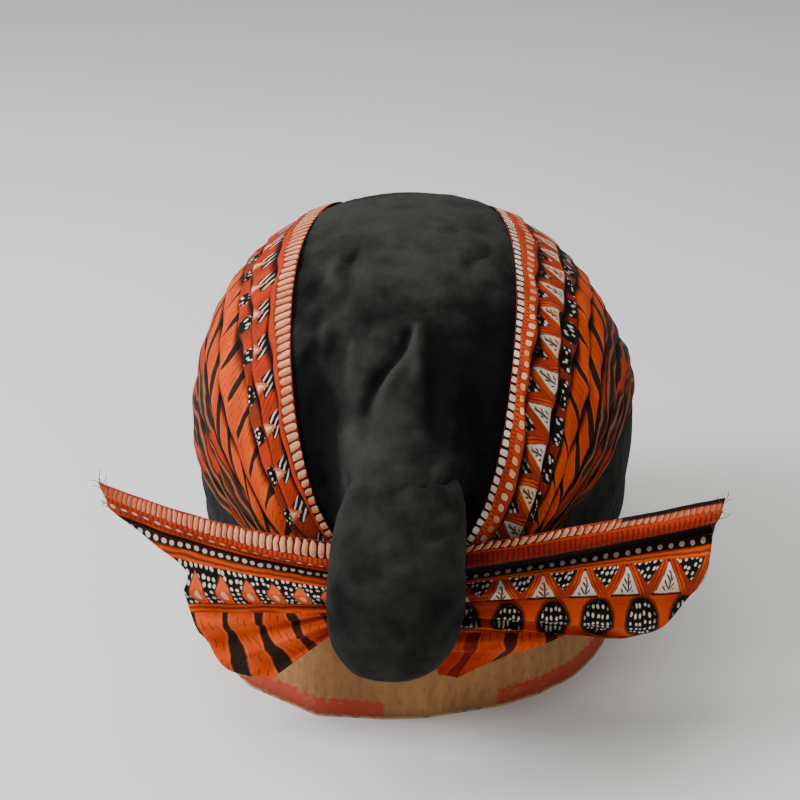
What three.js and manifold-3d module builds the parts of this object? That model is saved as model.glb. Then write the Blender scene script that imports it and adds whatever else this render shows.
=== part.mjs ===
// A blangkon, the Javanese wrapped batik cap, standing on the ring of cardboard that holds it up.
// Millimetres, +Z up. The wearer looks along +Y, so the mondolan, the stuffed bulge, is at -Y.
// The hat is worked out round the middle of the ring, and the finished group is then moved so
// that the origin lies under the middle of everything, on the surface that the ring stands on.
import * as THREE from "three";
import { mergeVertices } from "three/addons/utils/BufferGeometryUtils.js";
import Module from "manifold-3d";

const wasm = await Module();
wasm.setup();

// The dome of the cap, measured on the outside of its black cloth
const RIM_HEIGHT = 42;
const WIDEST_HEIGHT = 97;
const TOP_HEIGHT = 182;
const RIM_HALF = { width: 84.5, length: 98 };
const WIDEST_HALF = { width: 89.5, length: 105 };
const CROWN_WALL = 2.2;
const LEAN = -0.04; // above its widest part the soft top leans left by this much of the height

// The folds run like lines of longitude between two poles, one at the rim behind and one below
// the rim in front. Turns are counted in degrees from the middle of the top towards each side,
// and the way round is counted in degrees from the pole behind.
const BACK_POLE_HEIGHT = RIM_HEIGHT;
const FRONT_POLE_HEIGHT = 12;
const FOLDS_START = 22;
const TOP_WAY = 90;
const FRONT_POLE_WAY = 179;
const LOWEST_TURN = 130;
const STATIONS = { back: 30, shoulder: 50, crest: 75, top: 101, front: 140 };
const RIGHT_FOLDS = [
  { outer_edge_of: "crown_panel", back: 28, shoulder: 21, crest: 15.7, top: 11, front: 10 },
  { outer_edge_of: "ladder_border", back: 37, shoulder: 25, crest: 20.2, top: 16.5, front: 16 },
  { outer_edge_of: "tumpal_row", back: 46, shoulder: 31.8, crest: 25.2, top: 23.5, front: 24.5 },
  { outer_edge_of: "seed_row", back: 48.5, shoulder: 35.5, crest: 28, top: 28, front: 30 },
  { outer_edge_of: "field_1", back: 50, shoulder: 40, crest: 31.5, top: 32.5, front: 36 },
  { outer_edge_of: "field_2", back: 51.5, shoulder: 44.6, crest: 35.5, top: 37.5, front: 42 },
  { outer_edge_of: "streaks_1", back: 52.5, shoulder: 47.5, crest: 40, top: 42.5, front: 47 },
  { outer_edge_of: "streaks_2", back: 53.5, shoulder: 50, crest: 44.5, top: 47.5, front: 52 },
  { outer_edge_of: "lowest_fold", back: 54.5, shoulder: 52, crest: 48.5, top: 52, front: 57 },
];
const LEFT_FOLDS = [
  { outer_edge_of: "crown_panel", back: 28.5, shoulder: 22, crest: 17, top: 12.8, front: 11 },
  { outer_edge_of: "ladder_border", back: 32.5, shoulder: 26.2, crest: 21.2, top: 18, front: 17 },
  { outer_edge_of: "leaf_row", back: 39.5, shoulder: 30.5, crest: 26, top: 24.5, front: 25 },
  { outer_edge_of: "seed_row", back: 43, shoulder: 33.4, crest: 29, top: 28.8, front: 30.5 },
  { outer_edge_of: "field_1", back: 50, shoulder: 41.8, crest: 33.8, top: 34, front: 36.5 },
  { outer_edge_of: "field_2", back: 53, shoulder: 46.5, crest: 39.7, top: 40, front: 42 },
  { outer_edge_of: "streaks_1", back: 55.5, shoulder: 51, crest: 46, top: 46, front: 47 },
  { outer_edge_of: "streaks_2", back: 57.5, shoulder: 55, crest: 52, top: 51.5, front: 52 },
  { outer_edge_of: "lowest_fold", back: 59, shoulder: 59, crest: 58, top: 57, front: 57 },
];
const FOLD_SAMPLES = [0.04, 0.5, 0.97]; // places across one fold, from its inner to its outer edge
const FOLD_STEPS = 22;
const FOLD_THIN = 1; // cloth at a fold's inner edge, where it comes out from under its neighbour
const FOLD_THICK = 2.4; // cloth at its raised outer edge
const CLOTH_GAP = 0.6;

// The black wrap round each side, tucked under the lowest fold
const WRAP_THICK = 1.3;
const WRAP_TUCK = 5; // degrees of turn that lie under the lowest fold
const WRAP_LIFT_START = 9; // the folds above climb over the wrap between these two turns
const WRAP_LIFT_END = 6;
const WRAP_START = 20;
const WRAP_END_MARGIN = 2; // degrees short of where its top meets the rim in front
const WRAP_STEPS = 24;
const WRAP_ROWS = 7;

// The mondolan from its lower end to the tip of the ridge that it pulls up in the crown
const MONDOLAN = [
  { height: 51, outermost: 134, innermost: 130, half_width: 0, shift: -1 },
  { height: 53.2, outermost: 143, innermost: 122, half_width: 13, shift: -1.5 },
  { height: 58.5, outermost: 149.5, innermost: 117, half_width: 19, shift: -1 },
  { height: 65.5, outermost: 153, innermost: 113.4, half_width: 23.4, shift: -0.5 },
  { height: 74, outermost: 154.5, innermost: 111.8, half_width: 25.2, shift: 0 },
  { height: 84, outermost: 153.5, innermost: 111.6, half_width: 25.6, shift: 0.3 },
  { height: 95, outermost: 151, innermost: 110, half_width: 25, shift: 0.6 },
  { height: 105, outermost: 146.5, innermost: 100, half_width: 24.2, shift: 1.2 },
  { height: 113, outermost: 139.5, innermost: 94, half_width: 22.6, shift: 2.2 },
  { height: 121, outermost: 127.5, innermost: 90, half_width: 20, shift: 2.6 },
  { height: 128, outermost: 113, innermost: 86, half_width: 17.6, shift: 2.6 },
  { height: 136, outermost: 101.5, innermost: 82, half_width: 15.4, shift: 2.4 },
  { height: 145, outermost: 91.5, innermost: 76, half_width: 12.6, shift: 2 },
  { height: 154, outermost: 80.5, innermost: 68, half_width: 8.6, shift: 1.6 },
  { height: 161, outermost: 69, innermost: 64, half_width: 0, shift: 1.4 },
];
const MONDOLAN_SIDES = 24;
const MONDOLAN_SQUARE = 2.3; // 2 is an ellipse, and more is fuller at the corners
const MONDOLAN_GAP = 0.5;

// The wings, the two free ends of the cloth, as rays from the tie to the edge of the cloth, each
// with how far its middle droops below a straight line
const WING_ROOT = { side: 14, depth: 108.2 };
const LEFT_WING = [
  { ray: "top_edge", root_height: 88, tip_side: 114.6, tip_depth: 88, tip_height: 101.3, droop: 5 },
  { ray: "ladder_end", root_height: 83, tip_side: 110.6, tip_depth: 93, tip_height: 97, droop: 5 },
  { ray: "crease", root_height: 75.5, tip_side: 108.5, tip_depth: 90, tip_height: 89.2, droop: 4 },
  { ray: "notch", root_height: 71.5, tip_side: 82.9, tip_depth: 97, tip_height: 70.7, droop: 1 },
  { ray: "seed_middle", root_height: 67, tip_side: 81.3, tip_depth: 104, tip_height: 64.7, droop: 0 },
  { ray: "seed_end", root_height: 62, tip_side: 81.3, tip_depth: 99, tip_height: 56, droop: 0 },
  { ray: "field_1", root_height: 61.6, tip_side: 77.4, tip_depth: 105, tip_height: 49, droop: 0 },
  { ray: "field_2", root_height: 61.2, tip_side: 74.4, tip_depth: 101, tip_height: 40.8, droop: 0 },
  { ray: "field_3", root_height: 60.8, tip_side: 68, tip_depth: 106, tip_height: 33.4, droop: 0 },
  { ray: "field_4", root_height: 60.5, tip_side: 60, tip_depth: 102, tip_height: 25.9, droop: 0 },
  { ray: "lower_edge", root_height: 60.2, tip_side: 49, tip_depth: 106, tip_height: 28, droop: 0 },
];
const RIGHT_WING = [
  { ray: "top_edge", root_height: 88.4, tip_side: 119.2, tip_depth: 88, tip_height: 101, droop: 1 },
  { ray: "ladder_end", root_height: 80, tip_side: 117.2, tip_depth: 94, tip_height: 96.4, droop: 1 },
  { ray: "crease", root_height: 73, tip_side: 116.4, tip_depth: 88, tip_height: 88.2, droop: 1 },
  { ray: "line_end", root_height: 70, tip_side: 114.2, tip_depth: 97, tip_height: 83, droop: 0 },
  { ray: "tumpal_middle", root_height: 67, tip_side: 112.7, tip_depth: 100, tip_height: 73, droop: 0 },
  { ray: "tumpal_end", root_height: 64.5, tip_side: 107.9, tip_depth: 97, tip_height: 64, droop: 0 },
  { ray: "seed_row", root_height: 62, tip_side: 98.4, tip_depth: 103, tip_height: 54.5, droop: 0 },
  { ray: "seed_lobe", root_height: 60, tip_side: 89, tip_depth: 98, tip_height: 46.8, droop: 0 },
  { ray: "hollow", root_height: 57.5, tip_side: 77, tip_depth: 103, tip_height: 48.2, droop: 0 },
  { ray: "seed_end", root_height: 52, tip_side: 66, tip_depth: 101, tip_height: 49.4, droop: 0 },
  { ray: "field_1", root_height: 47, tip_side: 53, tip_depth: 106, tip_height: 46.5, droop: 0 },
  { ray: "field_2", root_height: 41, tip_side: 38, tip_depth: 104, tip_height: 38.8, droop: 0 },
  { ray: "lower_edge", root_height: 34, tip_side: 22, tip_depth: 109, tip_height: 33, droop: 0 },
];
const WING_THICK = 1.6;
const WING_STEPS = 9;
const RAY_STEPS = 2;

// The gathered tie behind the mondolan
const TIE = { half_width: 13.4, bottom: 47, top: 87, inner: 105.4, outer: 110.9 };
const TIE_FLUTES = 4;
const TIE_FLUTE_DEPTH = 1.2;
const TIE_COLUMNS = 16;
const TIE_ROWS = 4;

// The ring of single-wall corrugated board, wider at its foot than where the cap squeezes it
const RING_FOOT_HALF = { width: 87.5, length: 93.5 };
const RING_HEIGHT = 74;
const RING_WALL = 3;
const RING_CORNERS = [
  { name: "left_crease", angle: -150, reach: 1.07, sides_after: 1 },
  { name: "soft_crease", angle: -133, reach: 1.065, sides_after: 1 },
  { name: "back_crease", angle: -112, reach: 1.05, sides_after: 1 },
  { name: "seam", angle: -95, reach: 0.99, sides_after: 2 },
  { name: "flattened", angle: -74, reach: 0.955, sides_after: 3 },
  { name: "right", angle: -40, reach: 1, sides_after: 18 },
  { name: "left", angle: 185, reach: 1, sides_after: 2 },
];

// The dome's ring counts
const CROWN_SIDES = 44;
const CROWN_UPPER_RINGS = 9;
const CROWN_LOWER_RINGS = 4;

const HALVINGS = 40; // steps of a search between two bounds
const radians = THREE.MathUtils.degToRad;
const lerp = THREE.MathUtils.lerp;

// Half the dome's width and length at a height, with every outside size less by inset.
function domeHalf(height, inset = 0) {
  const top = TOP_HEIGHT - inset;
  const low = THREE.MathUtils.clamp((height - RIM_HEIGHT) / (WIDEST_HEIGHT - RIM_HEIGHT), 0, 1);
  const high = THREE.MathUtils.clamp((height - WIDEST_HEIGHT) / (top - WIDEST_HEIGHT), 0, 1);
  const swell = Math.sin((low * Math.PI) / 2);
  const close = Math.sqrt(1 - high * high);
  const half = (key) => (lerp(RIM_HALF[key], WIDEST_HALF[key], swell) - inset) * close;
  return { width: half("width"), length: half("length") };
}

function leanAt(height) {
  return LEAN * Math.max(height - WIDEST_HEIGHT, 0);
}

// The hub between the two poles, and the directions that the folds are measured from.
const POLE_REACH = RIM_HALF.length;
const TILT = Math.atan2(BACK_POLE_HEIGHT - FRONT_POLE_HEIGHT, 2 * POLE_REACH);
const HUB = new THREE.Vector3(0, 0, (BACK_POLE_HEIGHT + FRONT_POLE_HEIGHT) / 2);
const TO_BACK = new THREE.Vector3(0, -Math.cos(TILT), Math.sin(TILT));
const TO_TOP = new THREE.Vector3(0, Math.sin(TILT), Math.cos(TILT));
const TO_SIDE = new THREE.Vector3(1, 0, 0);

function insideDome(p) {
  if (p.z >= TOP_HEIGHT) return false;
  const half = domeHalf(p.z);
  const across = (p.x - leanAt(p.z)) / half.width;
  const along = p.y / half.length;
  return across * across + along * along < 1;
}

// The point that lies lift above the dome, way degrees round from the back pole and turn degrees
// from the middle of the top. A negative turn is on the wearer's left.
function onDome(way, turn, lift = 0) {
  const aside = new THREE.Vector3()
    .addScaledVector(TO_SIDE, Math.sin(radians(turn)))
    .addScaledVector(TO_TOP, Math.cos(radians(turn)));
  const direction = new THREE.Vector3()
    .addScaledVector(TO_BACK, Math.cos(radians(way)))
    .addScaledVector(aside, Math.sin(radians(way)));
  const reach = bisect(0, 2 * TOP_HEIGHT, (r) => insideDome(HUB.clone().addScaledVector(direction, r)));
  return HUB.clone().addScaledVector(direction, reach + lift);
}

// The largest value between low and high for which holds() is still true.
function bisect(low, high, holds) {
  for (let i = 0; i < HALVINGS; i++) {
    const middle = (low + high) / 2;
    if (holds(middle)) low = middle;
    else high = middle;
  }
  return low;
}

// A fold edge's turn at a way round, on a smooth curve through its row of the table.
function turnAt(fold, way) {
  const names = Object.keys(STATIONS);
  const ways = names.map((name) => STATIONS[name]);
  const turns = names.map((name) => fold[name]);
  const x = THREE.MathUtils.clamp(way, ways[0], ways.at(-1));
  const i = Math.min(ways.findLastIndex((w) => w <= x), ways.length - 2);
  const slope = (j) => {
    const before = Math.max(j - 1, 0);
    const after = Math.min(j + 1, ways.length - 1);
    return (turns[after] - turns[before]) / (ways[after] - ways[before]);
  };
  const span = ways[i + 1] - ways[i];
  const t = (x - ways[i]) / span;
  const ease = t * t * (3 - 2 * t);
  const start = slope(i) * span * t * (1 - t) * (1 - t);
  const end = slope(i + 1) * span * t * t * (t - 1);
  return lerp(turns[i], turns[i + 1], ease) + start + end;
}

// A closed geometry from points and triangles, turned so that its faces point outwards.
function closedGeometry(points, triangles) {
  let volume = 0;
  for (let i = 0; i < triangles.length; i += 3) {
    const [a, b, c] = [points[triangles[i]], points[triangles[i + 1]], points[triangles[i + 2]]];
    volume += a.dot(new THREE.Vector3().crossVectors(b, c));
  }
  const index = volume < 0 ? triangles.slice().reverse() : triangles;
  return new THREE.BufferGeometry().setFromPoints(points).setIndex(index);
}

// A sheet with a thickness: two grids of points with the same rows and columns, joined round
// their edges.
function slab(outer, inner) {
  const rows = outer.length;
  const columns = outer[0].length;
  const triangles = [];
  const quad = (a, b, c, d) => triangles.push(a, b, c, a, c, d);
  const out = (r, c) => r * columns + c;
  const back = (r, c) => rows * columns + out(r, c);
  for (let r = 0; r < rows - 1; r++)
    for (let c = 0; c < columns - 1; c++) {
      quad(out(r, c), out(r, c + 1), out(r + 1, c + 1), out(r + 1, c));
      quad(back(r, c), back(r + 1, c), back(r + 1, c + 1), back(r, c + 1));
    }
  for (let c = 0; c < columns - 1; c++) {
    quad(out(0, c), back(0, c), back(0, c + 1), out(0, c + 1));
    quad(out(rows - 1, c), out(rows - 1, c + 1), back(rows - 1, c + 1), back(rows - 1, c));
  }
  for (let r = 0; r < rows - 1; r++) {
    quad(out(r, 0), out(r + 1, 0), back(r + 1, 0), back(r, 0));
    quad(out(r, columns - 1), back(r, columns - 1), back(r + 1, columns - 1), out(r + 1, columns - 1));
  }
  return closedGeometry([...outer.flat(), ...inner.flat()], triangles);
}

// A skin over closed rings of points. A ring of one point is a pole, and a looped skin runs from
// its last ring back to its first.
function loft(rings, looped = false) {
  const starts = [];
  let count = 0;
  for (const ring of rings) {
    starts.push(count);
    count += ring.length;
  }
  const at = (r, c) => starts[r] + (c % rings[r].length);
  const sides = Math.max(...rings.map((ring) => ring.length));
  const triangles = [];
  for (let r = 0; r < rings.length - (looped ? 0 : 1); r++) {
    const next = (r + 1) % rings.length;
    for (let c = 0; c < sides; c++) {
      if (rings[r].length > 1) triangles.push(at(r, c), at(r, c + 1), at(next, c));
      if (rings[next].length > 1) triangles.push(at(r, c + 1), at(next, c + 1), at(next, c));
    }
  }
  return closedGeometry(rings.flat(), triangles);
}

function toManifold(geometry) {
  const bare = new THREE.BufferGeometry().setAttribute("position", geometry.getAttribute("position"));
  const merged = mergeVertices(bare.setIndex(geometry.index));
  const mesh = { numProp: 3, vertProperties: merged.attributes.position.array };
  return new wasm.Manifold(new wasm.Mesh({ ...mesh, triVerts: new Uint32Array(merged.index.array) }));
}

function fromManifold(solid) {
  const mesh = solid.getMesh();
  const position = new THREE.BufferAttribute(new Float32Array(mesh.vertProperties), 3);
  return new THREE.BufferGeometry()
    .setAttribute("position", position)
    .setIndex(new THREE.BufferAttribute(new Uint32Array(mesh.triVerts), 1));
}

function ellipse(centre, half, sides) {
  return Array.from({ length: sides }, (_, i) => {
    const angle = (2 * Math.PI * i) / sides;
    return new THREE.Vector3(half.width * Math.cos(angle), half.length * Math.sin(angle), 0).add(centre);
  });
}

// The dome's rings from its top down to the rim, with every size less by inset.
function domeRings(inset) {
  const top = TOP_HEIGHT - inset;
  const heights = [];
  for (let i = 1; i <= CROWN_UPPER_RINGS; i++)
    heights.push(lerp(WIDEST_HEIGHT, top, Math.cos((i * Math.PI) / (2 * CROWN_UPPER_RINGS))));
  for (let i = 1; i <= CROWN_LOWER_RINGS; i++)
    heights.push(lerp(WIDEST_HEIGHT, RIM_HEIGHT, i / CROWN_LOWER_RINGS));
  const rings = heights.map((height) =>
    ellipse(new THREE.Vector3(leanAt(height), 0, height), domeHalf(height, inset), CROWN_SIDES),
  );
  return [[new THREE.Vector3(leanAt(top), 0, top)], ...rings];
}

// The black cap itself: one shell, open below.
function crownGeometry() {
  return loft([...domeRings(0), ...domeRings(CROWN_WALL).reverse()]);
}

// How far round a line of turns runs before it goes below the rim in front.
function frontEnd(turn, side) {
  return bisect(TOP_WAY, FRONT_POLE_WAY, (way) => onDome(way, side * turn(way)).z > RIM_HEIGHT);
}

// The pleated batik down one side, a row of overlapping folds.
function foldsGeometry(folds, side) {
  const lowest = folds.at(-1);
  const columns = [];
  for (let f = 1; f < folds.length; f++)
    for (const across of FOLD_SAMPLES) {
      const turn = (way) => lerp(turnAt(folds[f - 1], way), turnAt(folds[f], way), across);
      columns.push({ turn, end: frontEnd(turn, side), cloth: lerp(FOLD_THIN, FOLD_THICK, across) });
    }
  const outer = [];
  const inner = [];
  for (const column of columns) {
    const ways = Array.from({ length: FOLD_STEPS + 1 }, (_, i) => lerp(FOLDS_START, column.end, i / FOLD_STEPS));
    const under = (way) => foldUnderside(turnAt(lowest, way) - column.turn(way));
    inner.push(ways.map((way) => onDome(way, side * column.turn(way), under(way))));
    outer.push(ways.map((way) => onDome(way, side * column.turn(way), under(way) + column.cloth)));
  }
  return slab(outer, inner);
}

// How far the folds' underside lies above the dome, from the turn that is left to the lowest edge.
function foldUnderside(turnLeft) {
  const climb = THREE.MathUtils.clamp((WRAP_LIFT_START - turnLeft) / (WRAP_LIFT_START - WRAP_LIFT_END), 0, 1);
  return CLOTH_GAP + climb * (WRAP_THICK + CLOTH_GAP);
}

// The black cloth between the lowest fold and the rim.
function wrapGeometry(folds, side) {
  const lowest = folds.at(-1);
  const top = (way) => turnAt(lowest, way) - WRAP_TUCK;
  const end = frontEnd(top, side) - WRAP_END_MARGIN;
  const outer = [];
  const inner = [];
  for (let i = 0; i <= WRAP_STEPS; i++) {
    const way = lerp(WRAP_START, end, i / WRAP_STEPS);
    const rim = bisect(top(way), LOWEST_TURN, (turn) => onDome(way, side * turn).z > RIM_HEIGHT);
    const turns = Array.from({ length: WRAP_ROWS + 1 }, (_, j) => lerp(top(way), rim, j / WRAP_ROWS));
    inner.push(turns.map((turn) => onDome(way, side * turn, CLOTH_GAP)));
    outer.push(turns.map((turn) => onDome(way, side * turn, CLOTH_GAP + WRAP_THICK)));
  }
  return slab(outer, inner);
}

// The stuffed bulge, cut to sit on the crown's cloth.
function mondolanGeometry() {
  const rings = MONDOLAN.map((section) => {
    const middle = -(section.outermost + section.innermost) / 2;
    const centre = new THREE.Vector3(section.shift, middle, section.height);
    if (section.half_width === 0) return [centre];
    const halfDepth = (section.outermost - section.innermost) / 2;
    return superellipse(centre, section.half_width, halfDepth);
  });
  const seat = toManifold(loft([...domeRings(-MONDOLAN_GAP), [new THREE.Vector3(0, 0, RIM_HEIGHT)]]));
  return fromManifold(toManifold(loft(rings)).subtract(seat));
}

function superellipse(centre, halfWidth, halfDepth) {
  const round = (value) => Math.sign(value) * Math.abs(value) ** (2 / MONDOLAN_SQUARE);
  return Array.from({ length: MONDOLAN_SIDES }, (_, i) => {
    const angle = (2 * Math.PI * i) / MONDOLAN_SIDES;
    const x = halfWidth * round(Math.cos(angle));
    return new THREE.Vector3(x, halfDepth * round(Math.sin(angle)), 0).add(centre);
  });
}

// How much of its whole droop a hanging line has at a share of its length.
function sag(along) {
  return 4 * along * (1 - along);
}

// One free end of the cloth: a fan of rays, each crest or valley at its own depth.
function wingGeometry(rays, side) {
  const roots = rays.map((ray) => new THREE.Vector3(side * WING_ROOT.side, -WING_ROOT.depth, ray.root_height));
  const tips = rays.map((ray) => new THREE.Vector3(side * ray.tip_side, -ray.tip_depth, ray.tip_height));
  const count = (rays.length - 1) * RAY_STEPS;
  const rootLine = new THREE.CatmullRomCurve3(roots);
  const tipLine = new THREE.CatmullRomCurve3(tips);
  const outer = [];
  const inner = [];
  for (let i = 0; i <= count; i++) {
    const root = rootLine.getPoint(i / count);
    const tip = tipLine.getPoint(i / count);
    const ray = Math.floor(i / RAY_STEPS);
    const next = Math.min(ray + 1, rays.length - 1);
    const droop = lerp(rays[ray].droop, rays[next].droop, i / RAY_STEPS - ray);
    const points = Array.from({ length: WING_STEPS + 1 }, (_, j) => {
      const along = j / WING_STEPS;
      const point = root.clone().lerp(tip, along);
      return point.setZ(point.z - droop * sag(along));
    });
    inner.push(points.map((p) => p.clone().setY(p.y + WING_THICK / 2)));
    outer.push(points.map((p) => p.clone().setY(p.y - WING_THICK / 2)));
  }
  return slab(outer, inner);
}

// The gathered cloth that the wings come out of, fluted on the side away from the head.
function tieGeometry() {
  const outer = [];
  const inner = [];
  for (let i = 0; i <= TIE_COLUMNS; i++) {
    const across = i / TIE_COLUMNS;
    const x = lerp(-TIE.half_width, TIE.half_width, across);
    const flute = TIE_FLUTE_DEPTH * (1 - Math.cos(2 * Math.PI * TIE_FLUTES * across)) / 2;
    const heights = Array.from({ length: TIE_ROWS + 1 }, (_, j) => lerp(TIE.bottom, TIE.top, j / TIE_ROWS));
    inner.push(heights.map((height) => new THREE.Vector3(x, -TIE.inner, height)));
    outer.push(heights.map((height) => new THREE.Vector3(x, -TIE.outer + flute, height)));
  }
  return slab(outer, inner);
}

// The cardboard ring: straight flats between its creases.
function ringGeometry() {
  const corners = RING_CORNERS.flatMap(({ angle, reach, sides_after }, i) => {
    const next = RING_CORNERS[i + 1] ?? { angle: RING_CORNERS[0].angle + 360, reach: RING_CORNERS[0].reach };
    return Array.from({ length: sides_after }, (_, j) => ({
      angle: radians(lerp(angle, next.angle, j / sides_after)),
      reach: lerp(reach, next.reach, j / sides_after),
    }));
  });
  const outline = (half, inset, height) =>
    corners.map(({ angle, reach }) => {
      const out = half === RING_FOOT_HALF ? reach : Math.min(reach, 1);
      const x = (half.width * out - inset) * Math.cos(angle);
      return new THREE.Vector3(x, (half.length * out - inset) * Math.sin(angle), height);
    });
  const squeezed = domeHalf(RIM_HEIGHT, CROWN_WALL + CLOTH_GAP);
  return loft(
    [
      outline(RING_FOOT_HALF, 0, 0),
      outline(squeezed, 0, RIM_HEIGHT),
      outline(squeezed, 0, RING_HEIGHT),
      outline(squeezed, RING_WALL, RING_HEIGHT),
      outline(squeezed, RING_WALL, RIM_HEIGHT),
      outline(RING_FOOT_HALF, RING_WALL, 0),
    ],
    true,
  );
}

const BLACK_COTTON = { color: 0x2b2b2a, roughness: 0.92, metalness: 0 };
const BATIK_COTTON = { color: 0xd2581f, roughness: 0.88, metalness: 0 };
const CARDBOARD = { color: 0xa0703f, roughness: 0.9, metalness: 0 };

const blangkon = new THREE.Group();

function addPiece(name, geometry, finish) {
  const mesh = new THREE.Mesh(geometry, new THREE.MeshStandardMaterial(finish));
  mesh.name = name;
  blangkon.add(mesh);
}

addPiece("crown", crownGeometry(), BLACK_COTTON);
addPiece("mondolan", mondolanGeometry(), BLACK_COTTON);
addPiece("left_folds", foldsGeometry(LEFT_FOLDS, -1), BATIK_COTTON);
addPiece("right_folds", foldsGeometry(RIGHT_FOLDS, 1), BATIK_COTTON);
addPiece("left_wrap", wrapGeometry(LEFT_FOLDS, -1), BLACK_COTTON);
addPiece("right_wrap", wrapGeometry(RIGHT_FOLDS, 1), BLACK_COTTON);
addPiece("left_wing", wingGeometry(LEFT_WING, -1), BATIK_COTTON);
addPiece("right_wing", wingGeometry(RIGHT_WING, 1), BATIK_COTTON);
addPiece("tie", tieGeometry(), BATIK_COTTON);
addPiece("cardboard_ring", ringGeometry(), CARDBOARD);

// The origin goes under the middle of the whole.
const middle = new THREE.Box3().setFromObject(blangkon).getCenter(new THREE.Vector3());
blangkon.position.set(-middle.x, -middle.y, 0);

export default blangkon;
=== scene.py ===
# %% [markdown]
# # A blangkon on its ring of cardboard
# A blangkon is the ready-wrapped batik cap of Java. This one is seen from behind: a black crown,
# a stuffed bulge called the mondolan, pleated batik down both sides, and two free cloth ends that
# spread out behind the mondolan like wings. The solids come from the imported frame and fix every
# size and place. This lesson dresses them: fine cloth surfaces, a printed pattern, soft light.

# %% Load the frame
import math

import bmesh
import bpy
import numpy as np
from mathutils import Matrix, Vector, noise


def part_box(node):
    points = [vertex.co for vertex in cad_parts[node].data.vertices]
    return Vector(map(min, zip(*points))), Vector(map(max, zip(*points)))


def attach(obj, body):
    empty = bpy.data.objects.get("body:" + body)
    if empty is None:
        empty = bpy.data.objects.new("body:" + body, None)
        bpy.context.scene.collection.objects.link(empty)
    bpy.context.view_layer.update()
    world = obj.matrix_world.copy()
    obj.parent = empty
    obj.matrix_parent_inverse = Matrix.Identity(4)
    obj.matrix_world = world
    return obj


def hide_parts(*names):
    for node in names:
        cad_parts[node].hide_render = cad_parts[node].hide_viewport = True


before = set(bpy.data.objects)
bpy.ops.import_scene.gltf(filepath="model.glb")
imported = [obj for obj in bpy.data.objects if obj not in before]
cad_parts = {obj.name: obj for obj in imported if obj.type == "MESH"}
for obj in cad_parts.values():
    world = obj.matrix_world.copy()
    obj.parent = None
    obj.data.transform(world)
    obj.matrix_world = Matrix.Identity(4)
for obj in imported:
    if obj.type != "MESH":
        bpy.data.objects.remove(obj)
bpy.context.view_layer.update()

print("nodes:", sorted(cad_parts))

# %% [markdown]
# ## Sizes shared with the solids
# All shapes below are worked out in millimetres round the middle of the crown, because cloth is
# measured in millimetres, and are moved to the frame in metres at the very end. The crown's own
# box gives that middle, the height of the rim and the widest half sizes, so nothing is fitted.

# %% The crown's middle and main sizes
MM = 0.001
crown_low, crown_high = (np.array(corner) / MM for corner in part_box("crown"))
AXIS = (crown_low + crown_high) / 2 * [1, 1, 0]
RIM_HEIGHT, TOP_HEIGHT = crown_low[2], crown_high[2]
WIDEST_HEIGHT = 97.0
WIDEST_HALF = (crown_high - crown_low)[:2] / 2
RIM_HALF = WIDEST_HALF - [5.0, 7.0]
CROWN_WALL = 2.2
LEAN = -0.04  # above its widest part the soft top leans left by this much of the height
print("crown's middle (mm):", AXIS.round(2), "widest half sizes:", WIDEST_HALF.round(2))

# %% [markdown]
# ## Camera
# The photo was taken from behind and from 25 degrees above, with a slight turn to one side. A
# long lens keeps the dome from bulging. The small sideways shift is the photo's own framing.

# %% Camera behind the cap
EYE_TURN = math.radians(3)
EYE_RISE = math.radians(25)
EYE_DISTANCE = 0.700
TARGET_HEIGHT = 0.097
FRAME_WIDTH = 800
SENSOR = 36.0
FOCAL_PIXELS = 1660
TARGET_PIXEL = 415


def new_object(name, data):
    made = bpy.data.objects.new(name, data)
    bpy.context.scene.collection.objects.link(made)
    return made


to_eye = Vector((
    math.sin(EYE_TURN) * math.cos(EYE_RISE),
    -math.cos(EYE_TURN) * math.cos(EYE_RISE),
    math.sin(EYE_RISE),
))
rightwards = Vector((math.cos(EYE_TURN), math.sin(EYE_TURN), 0))
upwards = to_eye.cross(rightwards)
target = Vector((AXIS[0] * MM, AXIS[1] * MM, TARGET_HEIGHT))
camera_data = bpy.data.cameras.new("camera")
camera_data.sensor_width = SENSOR
camera_data.lens = FOCAL_PIXELS / FRAME_WIDTH * SENSOR
camera_data.shift_x = (FRAME_WIDTH / 2 - TARGET_PIXEL) / FRAME_WIDTH
camera = new_object("camera", camera_data)
axes = Matrix((rightwards, upwards, to_eye)).transposed().to_4x4()
camera.matrix_world = Matrix.Translation(target + to_eye * EYE_DISTANCE) @ axes
bpy.context.scene.camera = camera
print("lens (mm):", round(camera_data.lens, 1))

# %% [markdown]
# ## The dome as a formula
# Every layer of the cap lies on one dome, so one function answers "where is the cloth here?".
# The folds run like lines of longitude between a pole at the rim behind and a pole in front.
# A place on the dome is a way round from the back pole and a turn away from the middle of the
# top, both in degrees. Numpy works on whole grids of places at once, which keeps this fast.

# %% The dome and its lines of longitude
BACK_POLE_HEIGHT = RIM_HEIGHT
FRONT_POLE_HEIGHT = 12.0
HUB = np.array([0, 0, (BACK_POLE_HEIGHT + FRONT_POLE_HEIGHT) / 2])
TILT = math.atan2(BACK_POLE_HEIGHT - FRONT_POLE_HEIGHT, 2 * RIM_HALF[1])
TO_BACK = np.array([0, -math.cos(TILT), math.sin(TILT)])
TO_TOP = np.array([0, math.sin(TILT), math.cos(TILT)])
TO_SIDE = np.array([1, 0, 0])
HALVINGS = 36  # how often a search halves its range, which leaves far less than a micrometre
SEED_STEP = 17.3  # how far apart the noises of two seeds are read


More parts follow.
